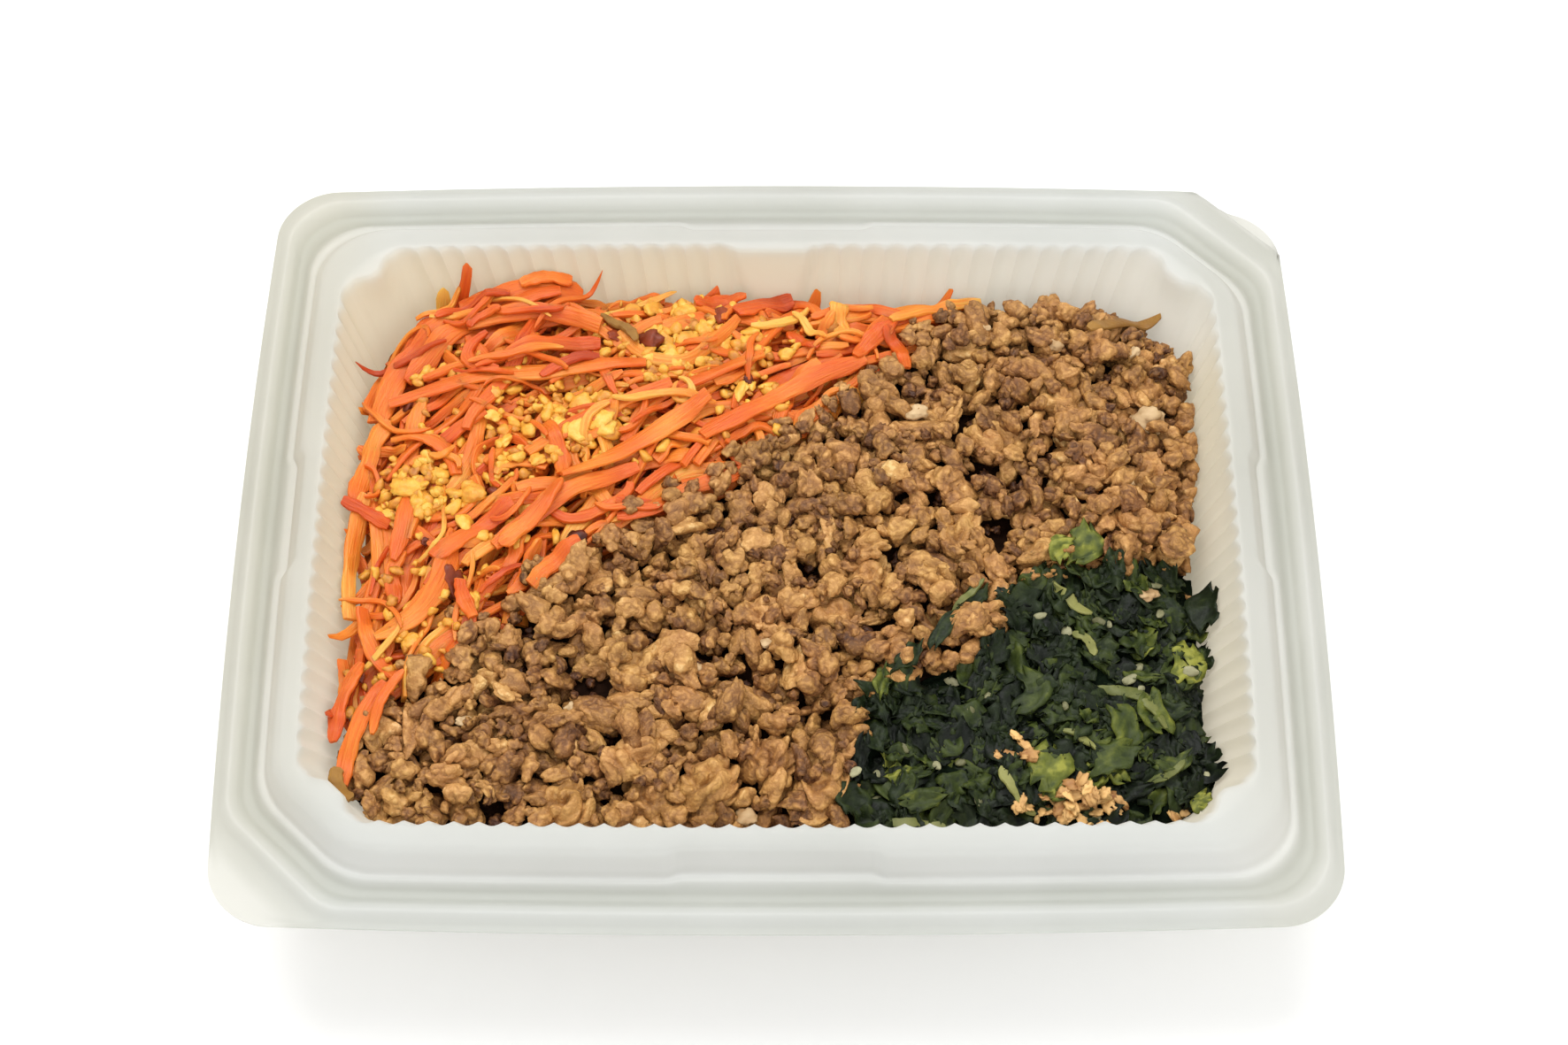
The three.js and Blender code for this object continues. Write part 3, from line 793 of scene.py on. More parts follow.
def torn(points, lobes, grit, warp):
    """A unit ball's points as a torn crumb, and how far each rises out of the hollows, 0 to 1."""
    bent = points + warp * np.stack([waves(points, 1.8, 2) for _ in range(3)], axis=1)
    large = np.minimum(np.abs(waves(bent, 2.8)), 1)
    small = np.minimum(np.abs(waves(bent, 6.5)), 1)
    radius = 1 + lobes * (large - 0.5) + grit * (small - 0.5)
    return bent * radius[:, None], 0.6 * large + 0.4 * small


def spiral(x, y):
    """Ridges that wind round the middle, -0.5 to 0.5."""
    turns = 1.5 * np.hypot(x, y) + np.arctan2(y, x) / (2 * math.pi)
    return np.abs(np.sin(math.pi * turns)) - 0.5


class Lumps(Joined):
    """Lumps of one kind."""

    def __init__(self, pile, subdivisions):
        self.ball, faces = ball(subdivisions)
        super().__init__(pile, faces)

    def drop(self, x, y, size, tone, flat=0.75, long=1.0, lobes=0.45, grit=0.25, warp=0.2, share=0.6,
             sink=0.2, tilt=0.5, turn=None, bend=0.0, coil=0.0, slack=0.92):
        """Lays one lump of about this diameter on the pile."""
        turn = dice.uniform(0, 2 * math.pi) if turn is None else turn
        half = np.array([size * long, size, size * flat]) / 2
        half *= dice.uniform(0.85, 1.15, size=3)
        ground = self.pile.rest_level(x, y, 0.7 * min(half[:2]), share)
        ground = min(ground, self.pile.read(self.pile.target, x, y) + 0.5)
        level = ground + half[2] * (1 - sink)
        tilts = dice.uniform(-tilt, tilt, size=2)
        shape, rise = torn(self.ball, lobes, grit, warp)
        shape[:, 1] += bend * shape[:, 0] ** 2
        shape[:, 2] += coil * spiral(shape[:, 0], shape[:, 1])
        shape = (slack * shape * half) @ turned(turn, *tilts).T
        self.points.append(shape + [x, y, level])
        # Painted shade: darker in the hollows, and low on the sides and underside.
        low = np.clip(0.4 - shape[:, 2] / half[2], 0, 1)
        self.tones.append(tone + HOLLOW_SHADE * (rise - 0.5) - UNDERSIDE_SHADE * low)
        self.pile.cover_round(x, y, level, half, turn)


# -------- strips
STRIP_STEPS = 18
STRIP_SAMPLES = 9  # across a strip, where it covers the height map
LISTED_WIDTH_SHARE = 0.72  # a listed strip is laid at this share of its listed width
LISTED_THICK = 1.0
# A strip's section, all round: share of the half width, share of the half thickness
STRIP_SECTION = np.array([
    (-1, -0.4), (-1, 0.4), (-0.8, 1), (0.8, 1), (1, 0.4), (1, -0.4), (0.8, -1), (-0.8, -1),
])


def smoothed(values, rounds):
    for _ in range(rounds):
        padded = np.concatenate([values[:1], values, values[-1:]])
        values = 0.25 * padded[:-2] + 0.5 * padded[1:-1] + 0.25 * padded[2:]
    return values


def path_around(x, y, heading, length, bend):
    """A curved path through a middle point; bend is its turn from end to end."""
    s = np.linspace(-0.5, 0.5, STRIP_STEPS)
    angle = heading + bend * s + 0.25 * ripple(s, 4, 9)
    step = length / (STRIP_STEPS - 1)
    path_x = np.concatenate([[0], np.cumsum(np.cos(angle[1:]) * step)])
    path_y = np.concatenate([[0], np.cumsum(np.sin(angle[1:]) * step)])
    middle = STRIP_STEPS // 2
    return x + path_x - path_x[middle], y + path_y - path_y[middle]


def path_between(x0, y0, x1, y1, sag):
    """A path from one point to another that bows this far to the left."""
    s = np.linspace(0, 1, STRIP_STEPS)
    bow = 4 * sag * s * (1 - s) / math.hypot(x1 - x0, y1 - y0)
    return x0 + (x1 - x0) * s - (y1 - y0) * bow, y0 + (y1 - y0) * s + (x1 - x0) * bow


class Strips(Joined):
    """Flat grated strips, each bent over what lies under it."""

    def __init__(self, pile):
        super().__init__(pile, tube_faces(STRIP_STEPS, len(STRIP_SECTION), turned_over=True))
        self.fibres = []

    def lay(self, x, y, width, thick, tone, roll=0.0, twist=0.0, lift=0.0, point=0.5):
        """Lays one strip along a path; point is the share of the width that its ends keep."""
        pile = self.pile
        angle = np.arctan2(np.gradient(y), np.gradient(x))
        side_x, side_y = -np.sin(angle), np.cos(angle)
        across = np.linspace(-0.5, 0.5, 5)[:, None] * width
        ground = pile.read(pile.height, x + across * side_x, y + across * side_y)
        wall = pile.read(pile.wall, x, y) + 0.5 * width
        high = np.maximum(np.quantile(ground, 0.75, axis=0), np.minimum(wall, FOOD_EDGE_LEVEL + 8))
        level = np.maximum(smoothed(high, 5), smoothed(high, 1) - 0.5) + thick / 2 + lift
        slope = smoothed(np.clip(np.arctan2(ground[-1] - ground[0], width), -0.7, 0.7), 4)
        s = np.linspace(0, 1, STRIP_STEPS)
        lean = (roll + 0.6 * slope + twist * (s - 0.5))[:, None]
        from_end = np.minimum(s, 1 - s) * (STRIP_STEPS - 1)
        taper = point + (1 - point) * np.sqrt(np.clip(from_end / dice.uniform(1, 7), 0, 1))[:, None]
        right, left = [(1 + 0.13 * ripple(s, 5, 12) + 0.08 * ripple(s, 18, 34))[:, None] for _ in range(2)]
        ragged = np.where(STRIP_SECTION[:, 0] < 0, right, left)
        offset = width / 2 * taper * ragged * STRIP_SECTION[:, 0]
        rise = thick / 2 * (0.5 + 0.5 * taper) * STRIP_SECTION[:, 1]
        out = offset * np.cos(lean) - rise * np.sin(lean)
        up = offset * np.sin(lean) + rise * np.cos(lean)
        rings = np.stack([
            x[:, None] + out * side_x[:, None],
            y[:, None] + out * side_y[:, None],
            level[:, None] + up,
        ], axis=-1)
        self.points.append(np.vstack([rings.reshape(-1, 3), rings[[0, -1]].mean(axis=1)]))
        run = np.concatenate([[0], np.cumsum(np.hypot(np.diff(x), np.diff(y)))])[:, None]
        shades = tone + 0.12 * ripple(run, 0.1, 0.4) + 0 * offset
        self.tones.append(np.concatenate([shades.ravel(), [tone, tone]]))
        fibre = np.stack([offset, run + 0 * offset, 20.0 * len(self.points) + rise], axis=-1)
        self.fibres.append(np.vstack([fibre.reshape(-1, 3), fibre[[0, -1], 0]]) * MM)
        self.cover(x, y, side_x, side_y, level, width, thick)

    def cover(self, x, y, side_x, side_y, level, width, thick):
        """Raises the height map to a strip's top."""
        fill = np.linspace(-0.45, 0.45, STRIP_SAMPLES)[:, None] * width
        steps = np.arange(STRIP_STEPS)
        dense = np.linspace(0, STRIP_STEPS - 1, STRIP_STEPS * 4)
        x, y, side_x, side_y, level = (np.interp(dense, steps, v) for v in (x, y, side_x, side_y, level))
        tops = np.broadcast_to(level + thick / 2, (STRIP_SAMPLES, len(dense)))
        self.pile.cover_points(x + fill * side_x, y + fill * side_y, tops)

    def lay_listed(self, rows):
        for *ends, width, tone in rows:
            self.lay(*path_between(*ends), LISTED_WIDTH_SHARE * width, LISTED_THICK, tone,
                     roll=dice.normal() * 0.25, twist=dice.normal() * 0.5, point=dice.uniform(0.3, 0.8))

    def finish(self, name, material, slot=None):
        super().finish(name, material, slot, sharp_angle=42, fibre=np.vstack(self.fibres))


# -------- carrot
LAID_STRIPS = 640
LOOSE_SHREDS = 90
CARROT_LEAST_MISSING = 0.2  # no strip is laid where less is missing to the heap's surface
# The strips that show most: from x, y to x, y, bow to the left, width, tone from red to yellow
KEY_STRIPS = [
    (-64, 50, -60, 60, 0.5, 4, 0.45),
    (-66, 47, -65, 58, 0.5, 4.5, 0.98),
    (-78, 30, -69, 50, 1.5, 5.5, 0.6),
    (-73, 40, -64, 55, 0.8, 5, 0.45),
    (-76, 27, -64, 49, 2.5, 7, 0.5),
    (-71, 36, -57, 51, 1, 6, 0.42),
    (-62, 54.5, -44, 57.6, 0.5, 6, 0.42),
    (-61, 53, -38, 56.6, 1.5, 7, 0.4),
    (-50, 57, -40, 58.5, 0.5, 4.5, 0.55),
    (-58, 49, -42, 55, 1, 6, 0.45),
    (-33, 55, -22, 57, 0.5, 4, 0.7),
    (-16, 54, -6, 56.5, 0.5, 4.5, 0.4),
    (-60, 48, -34, 47, 2.5, 5, 0.5),
    (-74, 30, -25, 38, 2, 5, 0.55),
    (-52, 39, -34, 44, 1.5, 4.5, 0.35),
    (-45, 35, -34, 40, 1, 3.5, 0.1),
    (-56, 46, -53, 36, -5, 3.5, 0.3),
    (-52, -3, -26, 15, 1.5, 5, 0.5),
    (-47, 18, -20, 33, 1, 4.5, 0.55),
    (-73, 22, -60, 13, 4, 4.5, 0.6),
    (-44, 25, -40, 12, 1, 4.5, 0.55),
    (-79, 8, -74, 27, 1, 5, 0.62),
    (-78, -16, -77, 10, 1.5, 5, 0.8),
    (-81, 8, -72, 3, 0.5, 3.5, 0.15),
    (-73, -21, -60, 1, -4.5, 6.5, 0.62),
    (-63, -6, -49, 6, 0.5, 5, 0.4),
    (-51, -3, -40, 10, -1, 4.5, 0.55),
    (-76, -14, -68, -30, -1.5, 4.5, 0.5),
    (-8, 51, 3, 57, 0.5, 6, 0.2),
    (-5, 48, 6, 53, -2, 2.6, 1),
    (2, 47, 8, 42, 0, 4, 0.15),
    (14, 45, 13, 55, 1.5, 5, 0.9),
    (8, 44, 11, 51, 0.5, 3.5, 0.65),
]
# Strips that lie over the edge of the meat, likewise
LATE_STRIPS = [
    (-40, 11, -13, 30, -1, 5.5, 0.62),
    (-45, -11, -36, -3, 0.5, 5, 0.5),
    (-14, 21, 17, 40, 1, 5, 0.5),
    (15, 40, 23, 49, 0.5, 4.5, 0.35),
    (21, 47, 25, 38, 0.5, 4, 0.3),
    (22, 49, 40, 57, 1, 3.8, 0.9),
    (-58, -10, -55, -18, -0.5, 4, 0.45),
    (-70, -31, -77, -50, -1.5, 4.5, 0.5),
    (-75, -26, -79, -42, -1, 4.5, 0.4),
    (-67, -29, -72, -41, -1, 3, 0.6),
]
# Brown and olive sticks, likewise
BROWN_STICKS = [
    (60, 46, 75, 53, 1.5, 4, 0.55),
    (-34, 49, -27, 43, 1.5, 3, 0.6),
    (-78, -47, -75, -53, -1, 3.6, 0.7),
]
# Pieces of egg on the carrot: x, y, diameter
EGG_PIECES = [
    (-34, 25, 6), (-38, 29, 5), (-31, 23, 4.5), (-54, 32, 4.5), (-57, 9, 5), (-69, 11, 5), (-64, 13, 4),
    (-66, 7, 4.5), (-54, 27, 3.5), (-37, 22, 5), (-41, 24, 4), (-47, 24, 3.5), (-45, 16, 3.5), (-47, 6, 4),
    (-58, 3, 3.5), (-24, 54, 4.5), (-18, 52, 4), (-28, 53, 5), (-20, 39, 4), (-7, 39, 3.5), (-10, 36, 3),
    (-7, 32, 3), (-51, 21, 3), (-60, 16, 3.5), (-14, 47, 4), (-24, 46, 4), (-17, 44, 4), (-10, 44, 3.5),
    (-72, 6, 4), (-56, -14, 3.5), (-66, -22, 3.5), (-33, 30, 4), (-44, 30, 3),
]
# Where finer grits of egg lie: x, y, spread, how many
EGG_GRITS = [
    (-20, 47, 7, 150), (-36, 26, 7, 80), (-8, 38, 7, 70), (-67, 10, 4, 80), (-54, 8, 6, 60),
    (-62, -14, 7, 60), (-30, 36, 8, 50), (-48, 20, 8, 60), (-70, -30, 5, 30), (-62, 40, 7, 30),
]
# Dark red and brown bits among the carrot: x, y, diameter, how long
DARK_BITS = [
    (-25, 44, 4.5, 1.6), (-59, -10, 4, 1.3), (-37, -1, 3.5, 1.3), (-53, 9, 3, 1.2), (-11, 51, 3.5, 1.3),
    (-6, 35, 3, 1.2), (-30, 46, 3, 2.4), (-49, 17, 1.6, 1.2), (-18, 38, 1.6, 1), (-65, -1, 1.8, 1),
    (-75, -29, 1.6, 1.2), (-42, 33, 2, 1.5), (-70, 30, 2, 1.4),
]


def strip_heading(x, y):
    """The way the strips mostly run: along the border, steeper at the left, flatter at the back."""
    left = smoothstep(-x, 55, 75) * smoothstep(-y, -35, 10)
    back = smoothstep(y, 30, 50) * smoothstep(x, -65, -40)
    return math.radians(36 + 38 * left - 24 * back)


def make_carrot(pile):
    strips = Strips(pile)
    for _ in range(LAID_STRIPS):
        spot, missing = pile.lowest_spot(in_carrot, 1.0, tries=10)
        if spot is None or missing < CARROT_LEAST_MISSING:
            continue
        spread = 0.35 if dice.uniform() < 0.7 else 1.1
        heading = strip_heading(*spot) + dice.normal() * spread
        path = path_around(*spot, heading, dice.uniform(10, 36), dice.normal() * 1.1)
        clear = pile.clearance(*path, pile.read(pile.target, *path)) > 0.8
        if np.sum(clear & in_carrot(path[0] - 3, path[1])) < STRIP_STEPS * 0.85:
            continue
        strips.lay(*path, dice.uniform(1.3, 3.4), dice.uniform(0.7, 1.2),
                   np.clip(dice.normal(0.54, 0.12), 0.05, 1), roll=dice.normal() * 0.4,
                   twist=dice.normal() * 0.8, point=dice.uniform(0.3, 0.9))
    strips.lay_listed(KEY_STRIPS)
    for _ in range(LOOSE_SHREDS):
        x, y = dice.uniform(-78, 20), dice.uniform(-46, 57)
        if not in_carrot(x, y) or pile.clearance(x, y, pile.read(pile.target, x, y)) < 2.5:
            continue
        heading = strip_heading(x, y) + dice.normal() * 0.6
        path = path_around(x, y, heading, dice.uniform(6, 20), dice.normal() * 1.5)
        strips.lay(*path, dice.uniform(0.8, 1.8), dice.uniform(0.6, 1.0),
                   np.clip(dice.normal(0.53, 0.2), 0, 1), twist=dice.normal(), point=dice.uniform(0.1, 0.6))
    strips.finish("carrot_strips", carrot_flesh(), "carrot")


def make_late_strips(pile):
    strips = Strips(pile)
    strips.lay_listed(LATE_STRIPS)
    strips.finish("carrot_strips_on_meat", carrot_flesh(), "carrot")
    sticks = Strips(pile)
    sticks.lay_listed(BROWN_STICKS)
    sticks.finish("brown_sticks", plain_food("brown_stick", (104, 62, 26), (172, 128, 58), 0.45))


def make_egg(pile):
    crumbs = Lumps(pile, 3)
    for x, y, size in EGG_PIECES:
        crumbs.drop(x, y, size, dice.uniform(0.4, 0.85), flat=0.5, long=dice.uniform(1, 1.5), lobes=0.3,
                    share=0.35, sink=0.45)
    crumbs.finish("egg_pieces", egg())
    grits = Lumps(pile, 2)
    for centre_x, centre_y, spread, count in EGG_GRITS:
        for _ in range(count):
            x, y = centre_x + dice.normal() * spread, centre_y + dice.normal() * spread
            if x < carrot_border(y) and pile.clearance(x, y, food_top(x, y)) > 1.2:
                grits.drop(x, y, dice.uniform(1.0, 2.5), dice.uniform(0.2, 0.8), long=dice.uniform(1, 1.6),
                           share=0.4, sink=0.4)
    grits.finish("egg_grits", egg())
    bits = Lumps(pile, 3)
    for x, y, size, long in DARK_BITS:
        bits.drop(x, y, size, dice.uniform(0.2, 0.8), flat=0.6, long=long, share=0.4, sink=0.4)
    bits.finish("dark_bits", plain_food("dark_bit", (58, 24, 14), (150, 62, 28), 0.4))


# -------- meat
# Large clumps of meat: x, y, diameter, how long, heading in degrees
MEAT_CLUMPS = [
    (8, -48.5, 9.8, 1.5, 80), (-1.5, -45.5, 10.5, 1.2, 60), (-12, -49.5, 10, 1.4, 105),
    (-22, -52, 9.8, 1.1, 0), (-37, -53, 9.8, 1.1, 20), (-24, -43, 8, 1.3, 10), (-25, -26, 9, 1.2, 30),
    (-2, -15, 8, 1.2, 160), (11, -15, 8, 1.2, 50), (-42, -38, 8, 1.1, 0), (54, 32, 9, 1.2, 0),
    (61, 27, 8, 1.2, 150), (69, 17, 8, 1.3, 30), (34, 1, 8, 1.3, 70), (40, 22, 8, 1.2, 0),
    (48, -2, 8, 1.3, 20), (67, 5, 8, 1.4, 160), (54, 53, 8, 1.4, 90), (-8, -33, 8, 1.5, 150),
    (17, -7, 7.5, 1.2, 90),
]
LARGE_CLUMP = 9.5  # clumps broader than this are divided more finely
# Open places between the crumbs, down to the core painted dark as shade: x, y, radius
MEAT_GAPS = [
    (-33, -29, 2.4), (-38, -33.5, 1.3), (-45, -19, 1.6), (-7, -30, 2), (-14, -25, 1.6), (-23, -20, 1.2),
    (-3, -36, 1.8), (6, -7, 1.4), (22, -4, 1.8), (26, 31, 1.3), (38, 28, 1.7), (39, 15, 2.2),
    (45, 13, 1.6), (40, 4, 1.3), (46, 4, 1.4), (-46, -27, 1.2), (34, 40, 1.3), (12, -26, 1.6),
    (-50, -55, 1.3), (-16, -38, 1.3), (-30, -40, 1.2), (17, -18, 1.4), (-54, -47, 1.2), (60, 12, 1.3),
    (30, 10, 1.5), (14, 12, 1.3), (52, 20, 1.3), (-12, 2, 1.3), (2, 4, 1.5), (63, 38, 1.2),
]
# Painted shade: crumbs coloured dark at the bottom of each open place.
GAP_SHADE_CRUMBS = 3  # small dark ones at the bottom of each open place
# Kinds of crumbs: name, how finely divided, least and greatest diameter, how many, tone
MEAT_CRUMBS = [
    ("meat_lumps", 4, 4.4, 6.6, 145, 0.62),
    ("meat_crumbs_coarse", 3, 3.2, 5.2, 560, 0.58),
    # The fine crumbs' lower tone is painted shade: they settle in the gaps between the larger ones.
    ("meat_crumbs_fine", 3, 1.8, 3.2, 500, 0.48),
]
MEAT_OVERFILL = 1.0  # how far over the heap's surface the pile may be where one more crumb is laid
CRUMBS_ON_CARROT = 45
# Crumbs over the greens' edge, and then crumbs against the right wall: x, y, diameter
STRAY_MEAT = [
    (35, -19, 7), (36, -24, 5), (31, -25.5, 5), (22, -26, 6), (73.5, -2, 6), (65, -2, 6),
    (78.4, 40.5, 4.4), (76.8, 37.5, 5), (78.9, 30.5, 4.2), (77.3, 27.5, 4.8), (78.8, 22.8, 4.4),
    (77, 20, 4), (78.2, 17.5, 4.4),
]


def make_meat(pile):
    material = meat()
    for gap in MEAT_GAPS:
        pile.hollow(*gap)
        pile.keep_open(*gap)
    large, medium = Lumps(pile, 5), Lumps(pile, 4)
    for x, y, size, long, heading in MEAT_CLUMPS:
        clumps = large if size > LARGE_CLUMP else medium
        clumps.drop(x, y, size, dice.uniform(0.6, 0.7), flat=0.68, long=long, lobes=0.24, grit=0.3,
                    warp=0.12, share=0.3, sink=0.1, tilt=0.15, turn=math.radians(heading), coil=0.5,
                    slack=0.98)
    large.finish("meat_clumps_large", material, "browned_meat")
    medium.finish("meat_clumps_medium", material, "browned_meat")
    for name, detail, low, high, count, tone in MEAT_CRUMBS:
        crumbs = Lumps(pile, detail)
        for _ in range(count):
            spot, missing = pile.lowest_spot(in_meat, low / 2, tries=14)
            if spot and missing > -MEAT_OVERFILL:
                crumbs.drop(*spot, dice.uniform(low, high), dice.normal(tone, 0.11),
                            flat=dice.uniform(0.6, 0.95), long=1 + abs(dice.normal()) * 0.4,
                            bend=dice.uniform(-0.4, 0.4), tilt=0.7)
        if name == "meat_crumbs_fine":
            # Dark crumbs in each open place: painted shade.
            for x, y, radius in MEAT_GAPS:
                for _ in range(GAP_SHADE_CRUMBS):
                    near_x, near_y = x + 0.5 * radius * dice.normal(), y + 0.5 * radius * dice.normal()
                    crumbs.drop(near_x, near_y, dice.uniform(1.5, 2.6), 0.15)
        if name == "meat_crumbs_coarse":
            for x, y, size in STRAY_MEAT:
                crumbs.drop(x, y, size, 0.55)
            for _ in range(CRUMBS_ON_CARROT):
                y = dice.uniform(-38, 50)
                x = carrot_border(y) - abs(dice.normal()) * 4
                crumbs.drop(x, y, dice.uniform(1.8, 4), dice.normal(0.53, 0.12), share=0.3, sink=0.4)
        crumbs.finish(name, material, "browned_meat")


# -------- greens
LEAF_LONG = 10  # points along a leaf
LEAF_WIDE = 8
LEAF_THICK = 0.3
LEAF_SHREDS = 390
LEAF_OVERFILL = 0.6  # how far over the heap's surface the pile may be where one more shred is laid
CHANCE_SEEDS = 30
FLAKES_PER_PLACE = 3
# Broad pieces of leaf that show most: x, y, heading in degrees, length, width, tone
LIGHT_LEAVES = [
    (57, -2, 70, 9, 6, 0.75), (75, -24, 80, 8, 6, 0.95), (49, -46, 70, 9, 7, 0.8),
    (50, -50, 60, 6, 4, 0.75), (63, -38, 100, 9, 5, 0.65), (60, -44, 30, 10, 6, 0.6),
    (47, -31, 80, 10, 5, 0.5), (26, -52, 10, 8, 4, 0.62), (19, -31, 80, 6, 3, 0.7),
    (68, -35, 110, 8, 5, 0.7), (71, -45, 20, 8, 3, 0.6), (52, -3, 60, 6, 4, 0.85),
    (36, -14, 45, 7, 4, 0.4), (30, -21, 55, 8, 3, 0.35), (24, -27, 50, 8, 3, 0.35),
    (75, -53, 70, 5, 3, 0.85), (78.5, -13, 75, 9, 6, 0.2),
]
# Pale stalks, as strips: from x, y to x, y, bow to the left, width, tone
STALKS = [
    (58, -29, 70, -38, 2.5, 3.2, 0.5), (66, -48, 73, -44, -1, 1.8, 0.3), (51, -39, 57, -43, 1, 1.8, 0.6),
    (40, -46, 46, -54, -1, 2.4, 0.9), (51, -8, 58, -14, -1, 2.6, 0.8), (54, -18, 58, -23, 1, 2, 0.7),
    (20, -56, 30, -56, 0, 2.6, 0.5), (72, -30, 78, -20, -2, 1.4, 0.1), (32, -16, 38, -10, 0, 1.6, 0.5),
]
# Sesame seeds that show most: x, y
SEEDS = [
    (28.5, -45.5), (35, -34.5), (38, -31.5), (12.8, -37), (18, -46.5), (18, -51), (23, -42), (33, -44),
    (56, -36), (32, -28), (48, -16), (48, -9), (77, -47), (14, -48), (36, -52), (66, -25), (52, -34),
    (61, -16),
]
# Pale bits, mostly in the meat: x, y, diameter
PALE_BITS = [
    (70.5, 28, 6.5), (68, -10, 4.5), (-5, -56, 3.8), (-56, -38, 3.2), (-14, -28, 2.6), (54, 44, 3),
    (66, 12, 2.6), (-37, -35, 2.4), (27, 27, 4), (-2, -23, 3), (69, 43, 2.4), (40, 48, 2.4),
]
# Places of flakes at the greens' front edge and above: x, y, diameter
FLAKES = [
    (46, -53, 3), (49, -52, 3), (52, -51, 4), (55, -53, 4), (58, -52, 3.5), (60, -55, 3), (71, -54, 4),
    (51, -55, 4), (53, -50, 4), (57, -50.5, 4), (60, -52, 3.5), (55, -51.5, 4), (44, -55, 3), (44, -41, 4),
    (76.6, -11, 3.5), (42, -43, 3), (54, -55, 3.5),
]


class Leaves(Joined):
    """Crumpled shreds of cooked leaf: thin closed sheets that follow the pile."""

    def __init__(self, pile):
        super().__init__(pile, sheet_faces(LEAF_LONG, LEAF_WIDE))

    def lay(self, x, y, heading, length, width, tone, crumple, tilt, lift=0.0):
        s = np.linspace(-0.5, 0.5, LEAF_LONG)[:, None]
        t = np.linspace(-0.5, 0.5, LEAF_WIDE)[None, :]
        angle = heading + dice.normal() * 0.5 * s
        rounding = np.sqrt(np.clip(1 - (2 * s) ** 4, 0.15, 1))
        ragged = 1 + 0.2 * ripple(s, 6, 11) * np.sign(t)
        across = t * width * rounding * ragged
        along = s * length * (1 + 0.25 * ripple(t, 5, 9))
        place_x = x + along * np.cos(angle) - across * np.sin(angle)
        place_y = y + along * np.sin(angle) + across * np.cos(angle)
        ground = self.pile.read(self.pile.height, place_x, place_y)
        base = 0.4 * ground + 0.6 * np.quantile(ground, 0.7)
        folds = np.zeros_like(base)
        for _ in range(3):
            pitch_s, pitch_t = dice.normal() * 6, dice.normal() * 5
            folds += np.abs(np.sin(pitch_s * s + pitch_t * t + dice.uniform(0, 7))) - 0.6
        slope = dice.uniform(-tilt, tilt) * along + dice.uniform(-tilt, tilt) * across
        level = base + crumple * folds + slope + LEAF_THICK + lift
        faces = [np.stack([place_x, place_y, z], axis=-1) for z in (level, level - LEAF_THICK)]
        self.points.append(np.vstack([face.reshape(-1, 3) for face in faces]))
        # Painted shade: each shred is darker in the hollows of its crumple and lighter on its ridges.
        self.tones.append(np.tile((tone + 0.16 * folds).ravel(), 2))
        self.pile.cover_points(place_x, place_y, np.minimum(level, base + 1.2))


def make_greens(pile):
    leaves = Leaves(pile)
    for _ in range(LEAF_SHREDS):
        spot, missing = pile.lowest_spot(in_greens, 1.0, tries=18)
        if spot is None or missing < -LEAF_OVERFILL:
            continue
        leaves.lay(*spot, dice.uniform(0, math.pi), dice.uniform(3.5, 8), dice.uniform(2.5, 6),
                   np.clip(dice.normal(0.3, 0.19), 0, 0.8), dice.uniform(0.4, 1.0), tilt=0.45)
    for x, y, heading, length, width, tone in LIGHT_LEAVES:
        leaves.lay(x, y, math.radians(heading), length, width, tone, 0.3, tilt=0.1, lift=0.7)
    leaves.finish("leaf_shreds", leaf(), "chopped_greens")
    stalks = Strips(pile)
    for *ends, width, tone in STALKS:
        stalks.lay(*path_between(*ends), 0.8 * width, 0.7, tone, roll=dice.normal() * 0.3,
                   twist=dice.normal() * 0.8, lift=-0.3, point=0.2)
    stalks.finish("green_stalks", plain_food("stalk", (62, 76, 32), (144, 142, 80), 0.45), "chopped_greens")


def make_toppings(pile):
    seeds = Lumps(pile, 3)
    places = SEEDS + [pile.lowest_spot(in_greens, 2.0, tries=2)[0] for _ in range(CHANCE_SEEDS)]
    for spot in filter(None, places):
        seeds.drop(*spot, dice.uniform(1.2, 1.9), dice.uniform(0, 0.9), flat=0.5,
                   long=dice.uniform(1.3, 1.9), lobes=0.15, grit=0.1, sink=0.4)
    seeds.finish("sesame_seeds", plain_food("seed", (100, 98, 66), (176, 172, 134), 0.5))
    pale = Lumps(pile, 3)
    for x, y, size in PALE_BITS:
        pale.drop(x, y, size, dice.uniform(0.3, 0.7), flat=0.5, long=1.1, share=0.4, sink=0.4, tilt=0.4)
    pale.finish("pale_bits", plain_food("pale_bit", (164, 124, 78), (218, 190, 146), 0.5))
    flakes = Lumps(pile, 3)
    for x, y, size in FLAKES:
        for _ in range(FLAKES_PER_PLACE):
            flakes.drop(x + dice.normal() * 1.2, y + dice.normal() * 0.9, size * dice.uniform(0.35, 0.75),
                        dice.uniform(0.25, 1), flat=0.4, long=1.4, grit=0.45, share=0.5)
    flakes.finish("tan_flakes", plain_food("flake", (140, 86, 44), (232, 186, 118), 0.5))


# -------- camera, floor and light
CAMERA_PLACE = (1.36, -294.5, 505.65)
CAMERA_ELEVATION = 58
LENS = 69.45
SENSOR_WIDTH = 36
FLOOR_HALF = 3.0  # in metres, as are the lights' places and sizes
WORLD_STRENGTH = 0.88
LIGHT_AIM = (0, 0, 0.02)
LIGHTS = [
    {"name": "key", "place": (-0.15, 0.45, 1.15), "size": (1.0, 0.8), "power": 10},
    {"name": "fill", "place": (0.4, -0.9, 0.8), "size": (1.4, 0.8), "power": 4.5},
]


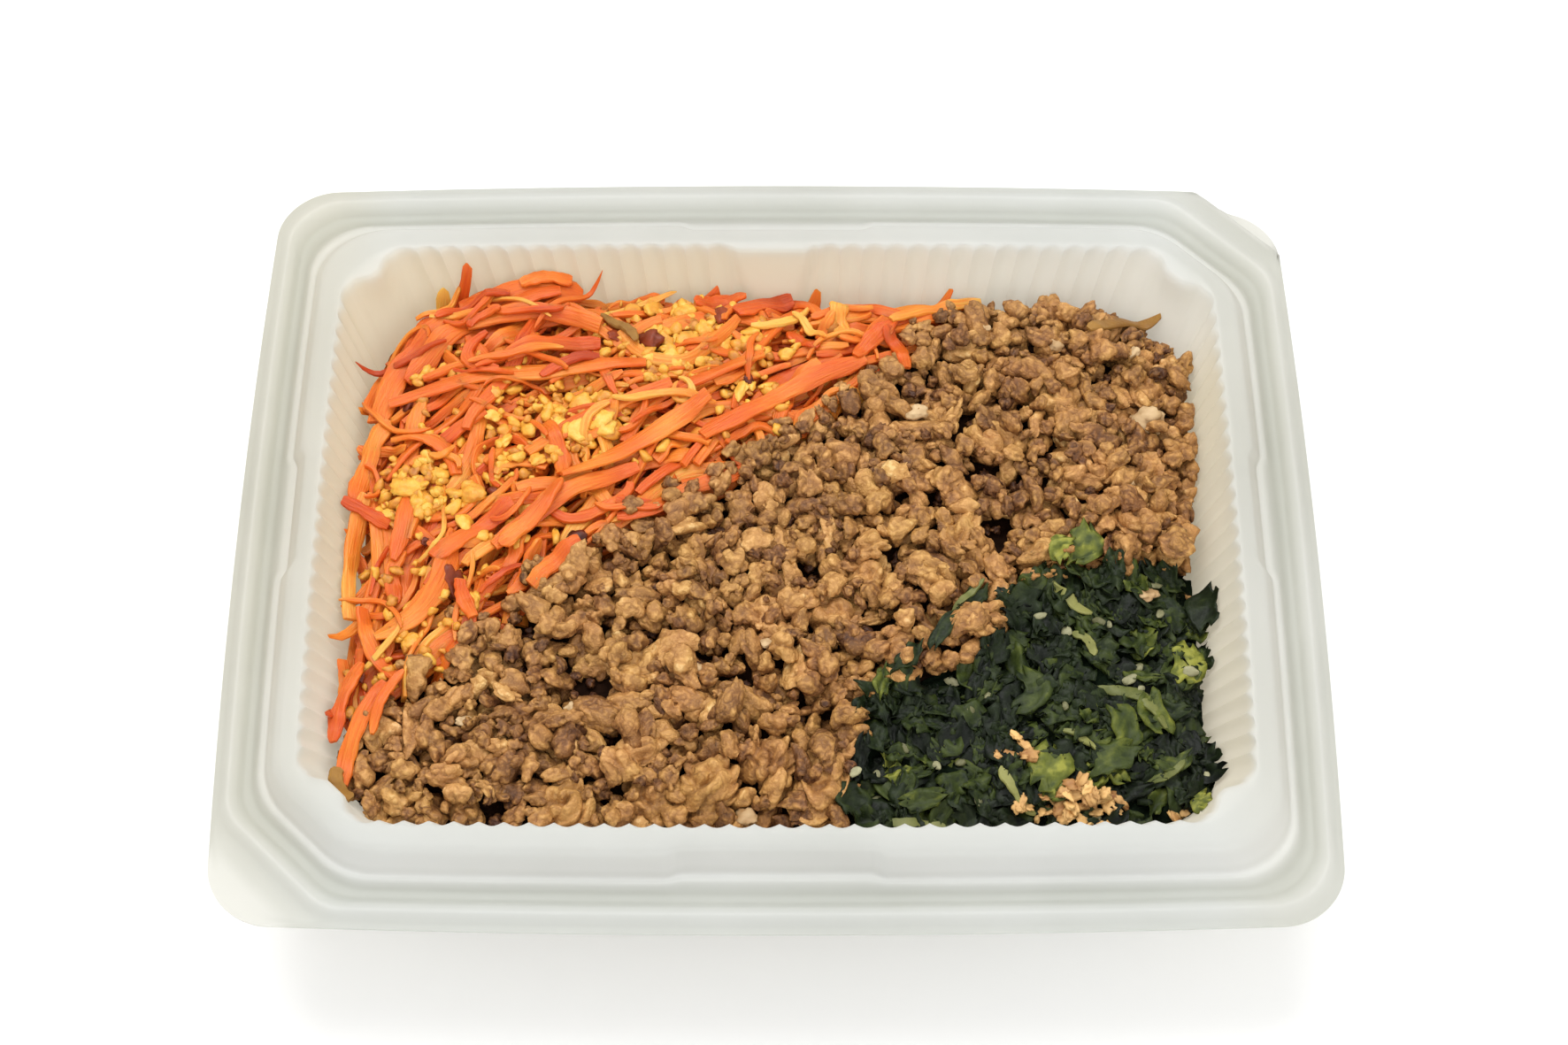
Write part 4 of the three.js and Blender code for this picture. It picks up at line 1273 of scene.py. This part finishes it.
def add_camera():
    camera = bpy.data.objects.new("camera", bpy.data.cameras.new("camera"))
    camera.data.lens = LENS
    camera.data.sensor_width = SENSOR_WIDTH
    camera.data.sensor_fit = "HORIZONTAL"
    camera.data.clip_start = 0.01
    camera.location = [c * MM for c in CAMERA_PLACE]
    camera.rotation_euler = (math.radians(90 - CAMERA_ELEVATION), 0, 0)
    bpy.context.scene.collection.objects.link(camera)
    bpy.context.scene.camera = camera


def add_floor():
    mesh = bpy.data.meshes.new("floor")
    corners = [(x * FLOOR_HALF, y * FLOOR_HALF, 0) for x, y in ((-1, -1), (1, -1), (1, 1), (-1, 1))]
    mesh.from_pydata(corners, [], [(0, 1, 2, 3)])
    look = Surface("pale_floor", 0.9)
    look.colour(look.ramp(look.noise(400, 2), (0.4, (0.96, 0.96, 0.955)), (0.6, (0.98, 0.98, 0.975))))
    mesh.materials.append(look.material)
    floor = bpy.data.objects.new("floor", mesh)
    bpy.context.scene.collection.objects.link(floor)


def add_area_light(name, place, size, power):
    lamp = bpy.data.lights.new(name, "AREA")
    lamp.shape = "RECTANGLE"
    lamp.size, lamp.size_y = size
    lamp.energy = power
    light = bpy.data.objects.new(name, lamp)
    light.location = place
    direction = np.array(LIGHT_AIM) - np.array(place)
    yaw = math.atan2(direction[0], -direction[1])
    pitch = math.acos(-direction[2] / np.linalg.norm(direction))
    light.rotation_euler = (pitch, 0, yaw + math.pi)
    bpy.context.scene.collection.objects.link(light)


def add_light():
    world = bpy.data.worlds.new("studio")
    world.use_nodes = True
    background = world.node_tree.nodes["Background"]
    background.inputs["Color"].default_value = (1, 1, 1, 1)
    background.inputs["Strength"].default_value = WORLD_STRENGTH
    bpy.context.scene.world = world
    for light in LIGHTS:
        add_area_light(**light)
    bpy.context.scene.view_settings.view_transform = "Standard"


add_camera()
add_floor()
add_light()
make_tray()
make_cores()
heap = Pile()
make_carrot(heap)
make_egg(heap)
make_meat(heap)
make_late_strips(heap)
make_greens(heap)
make_toppings(heap)
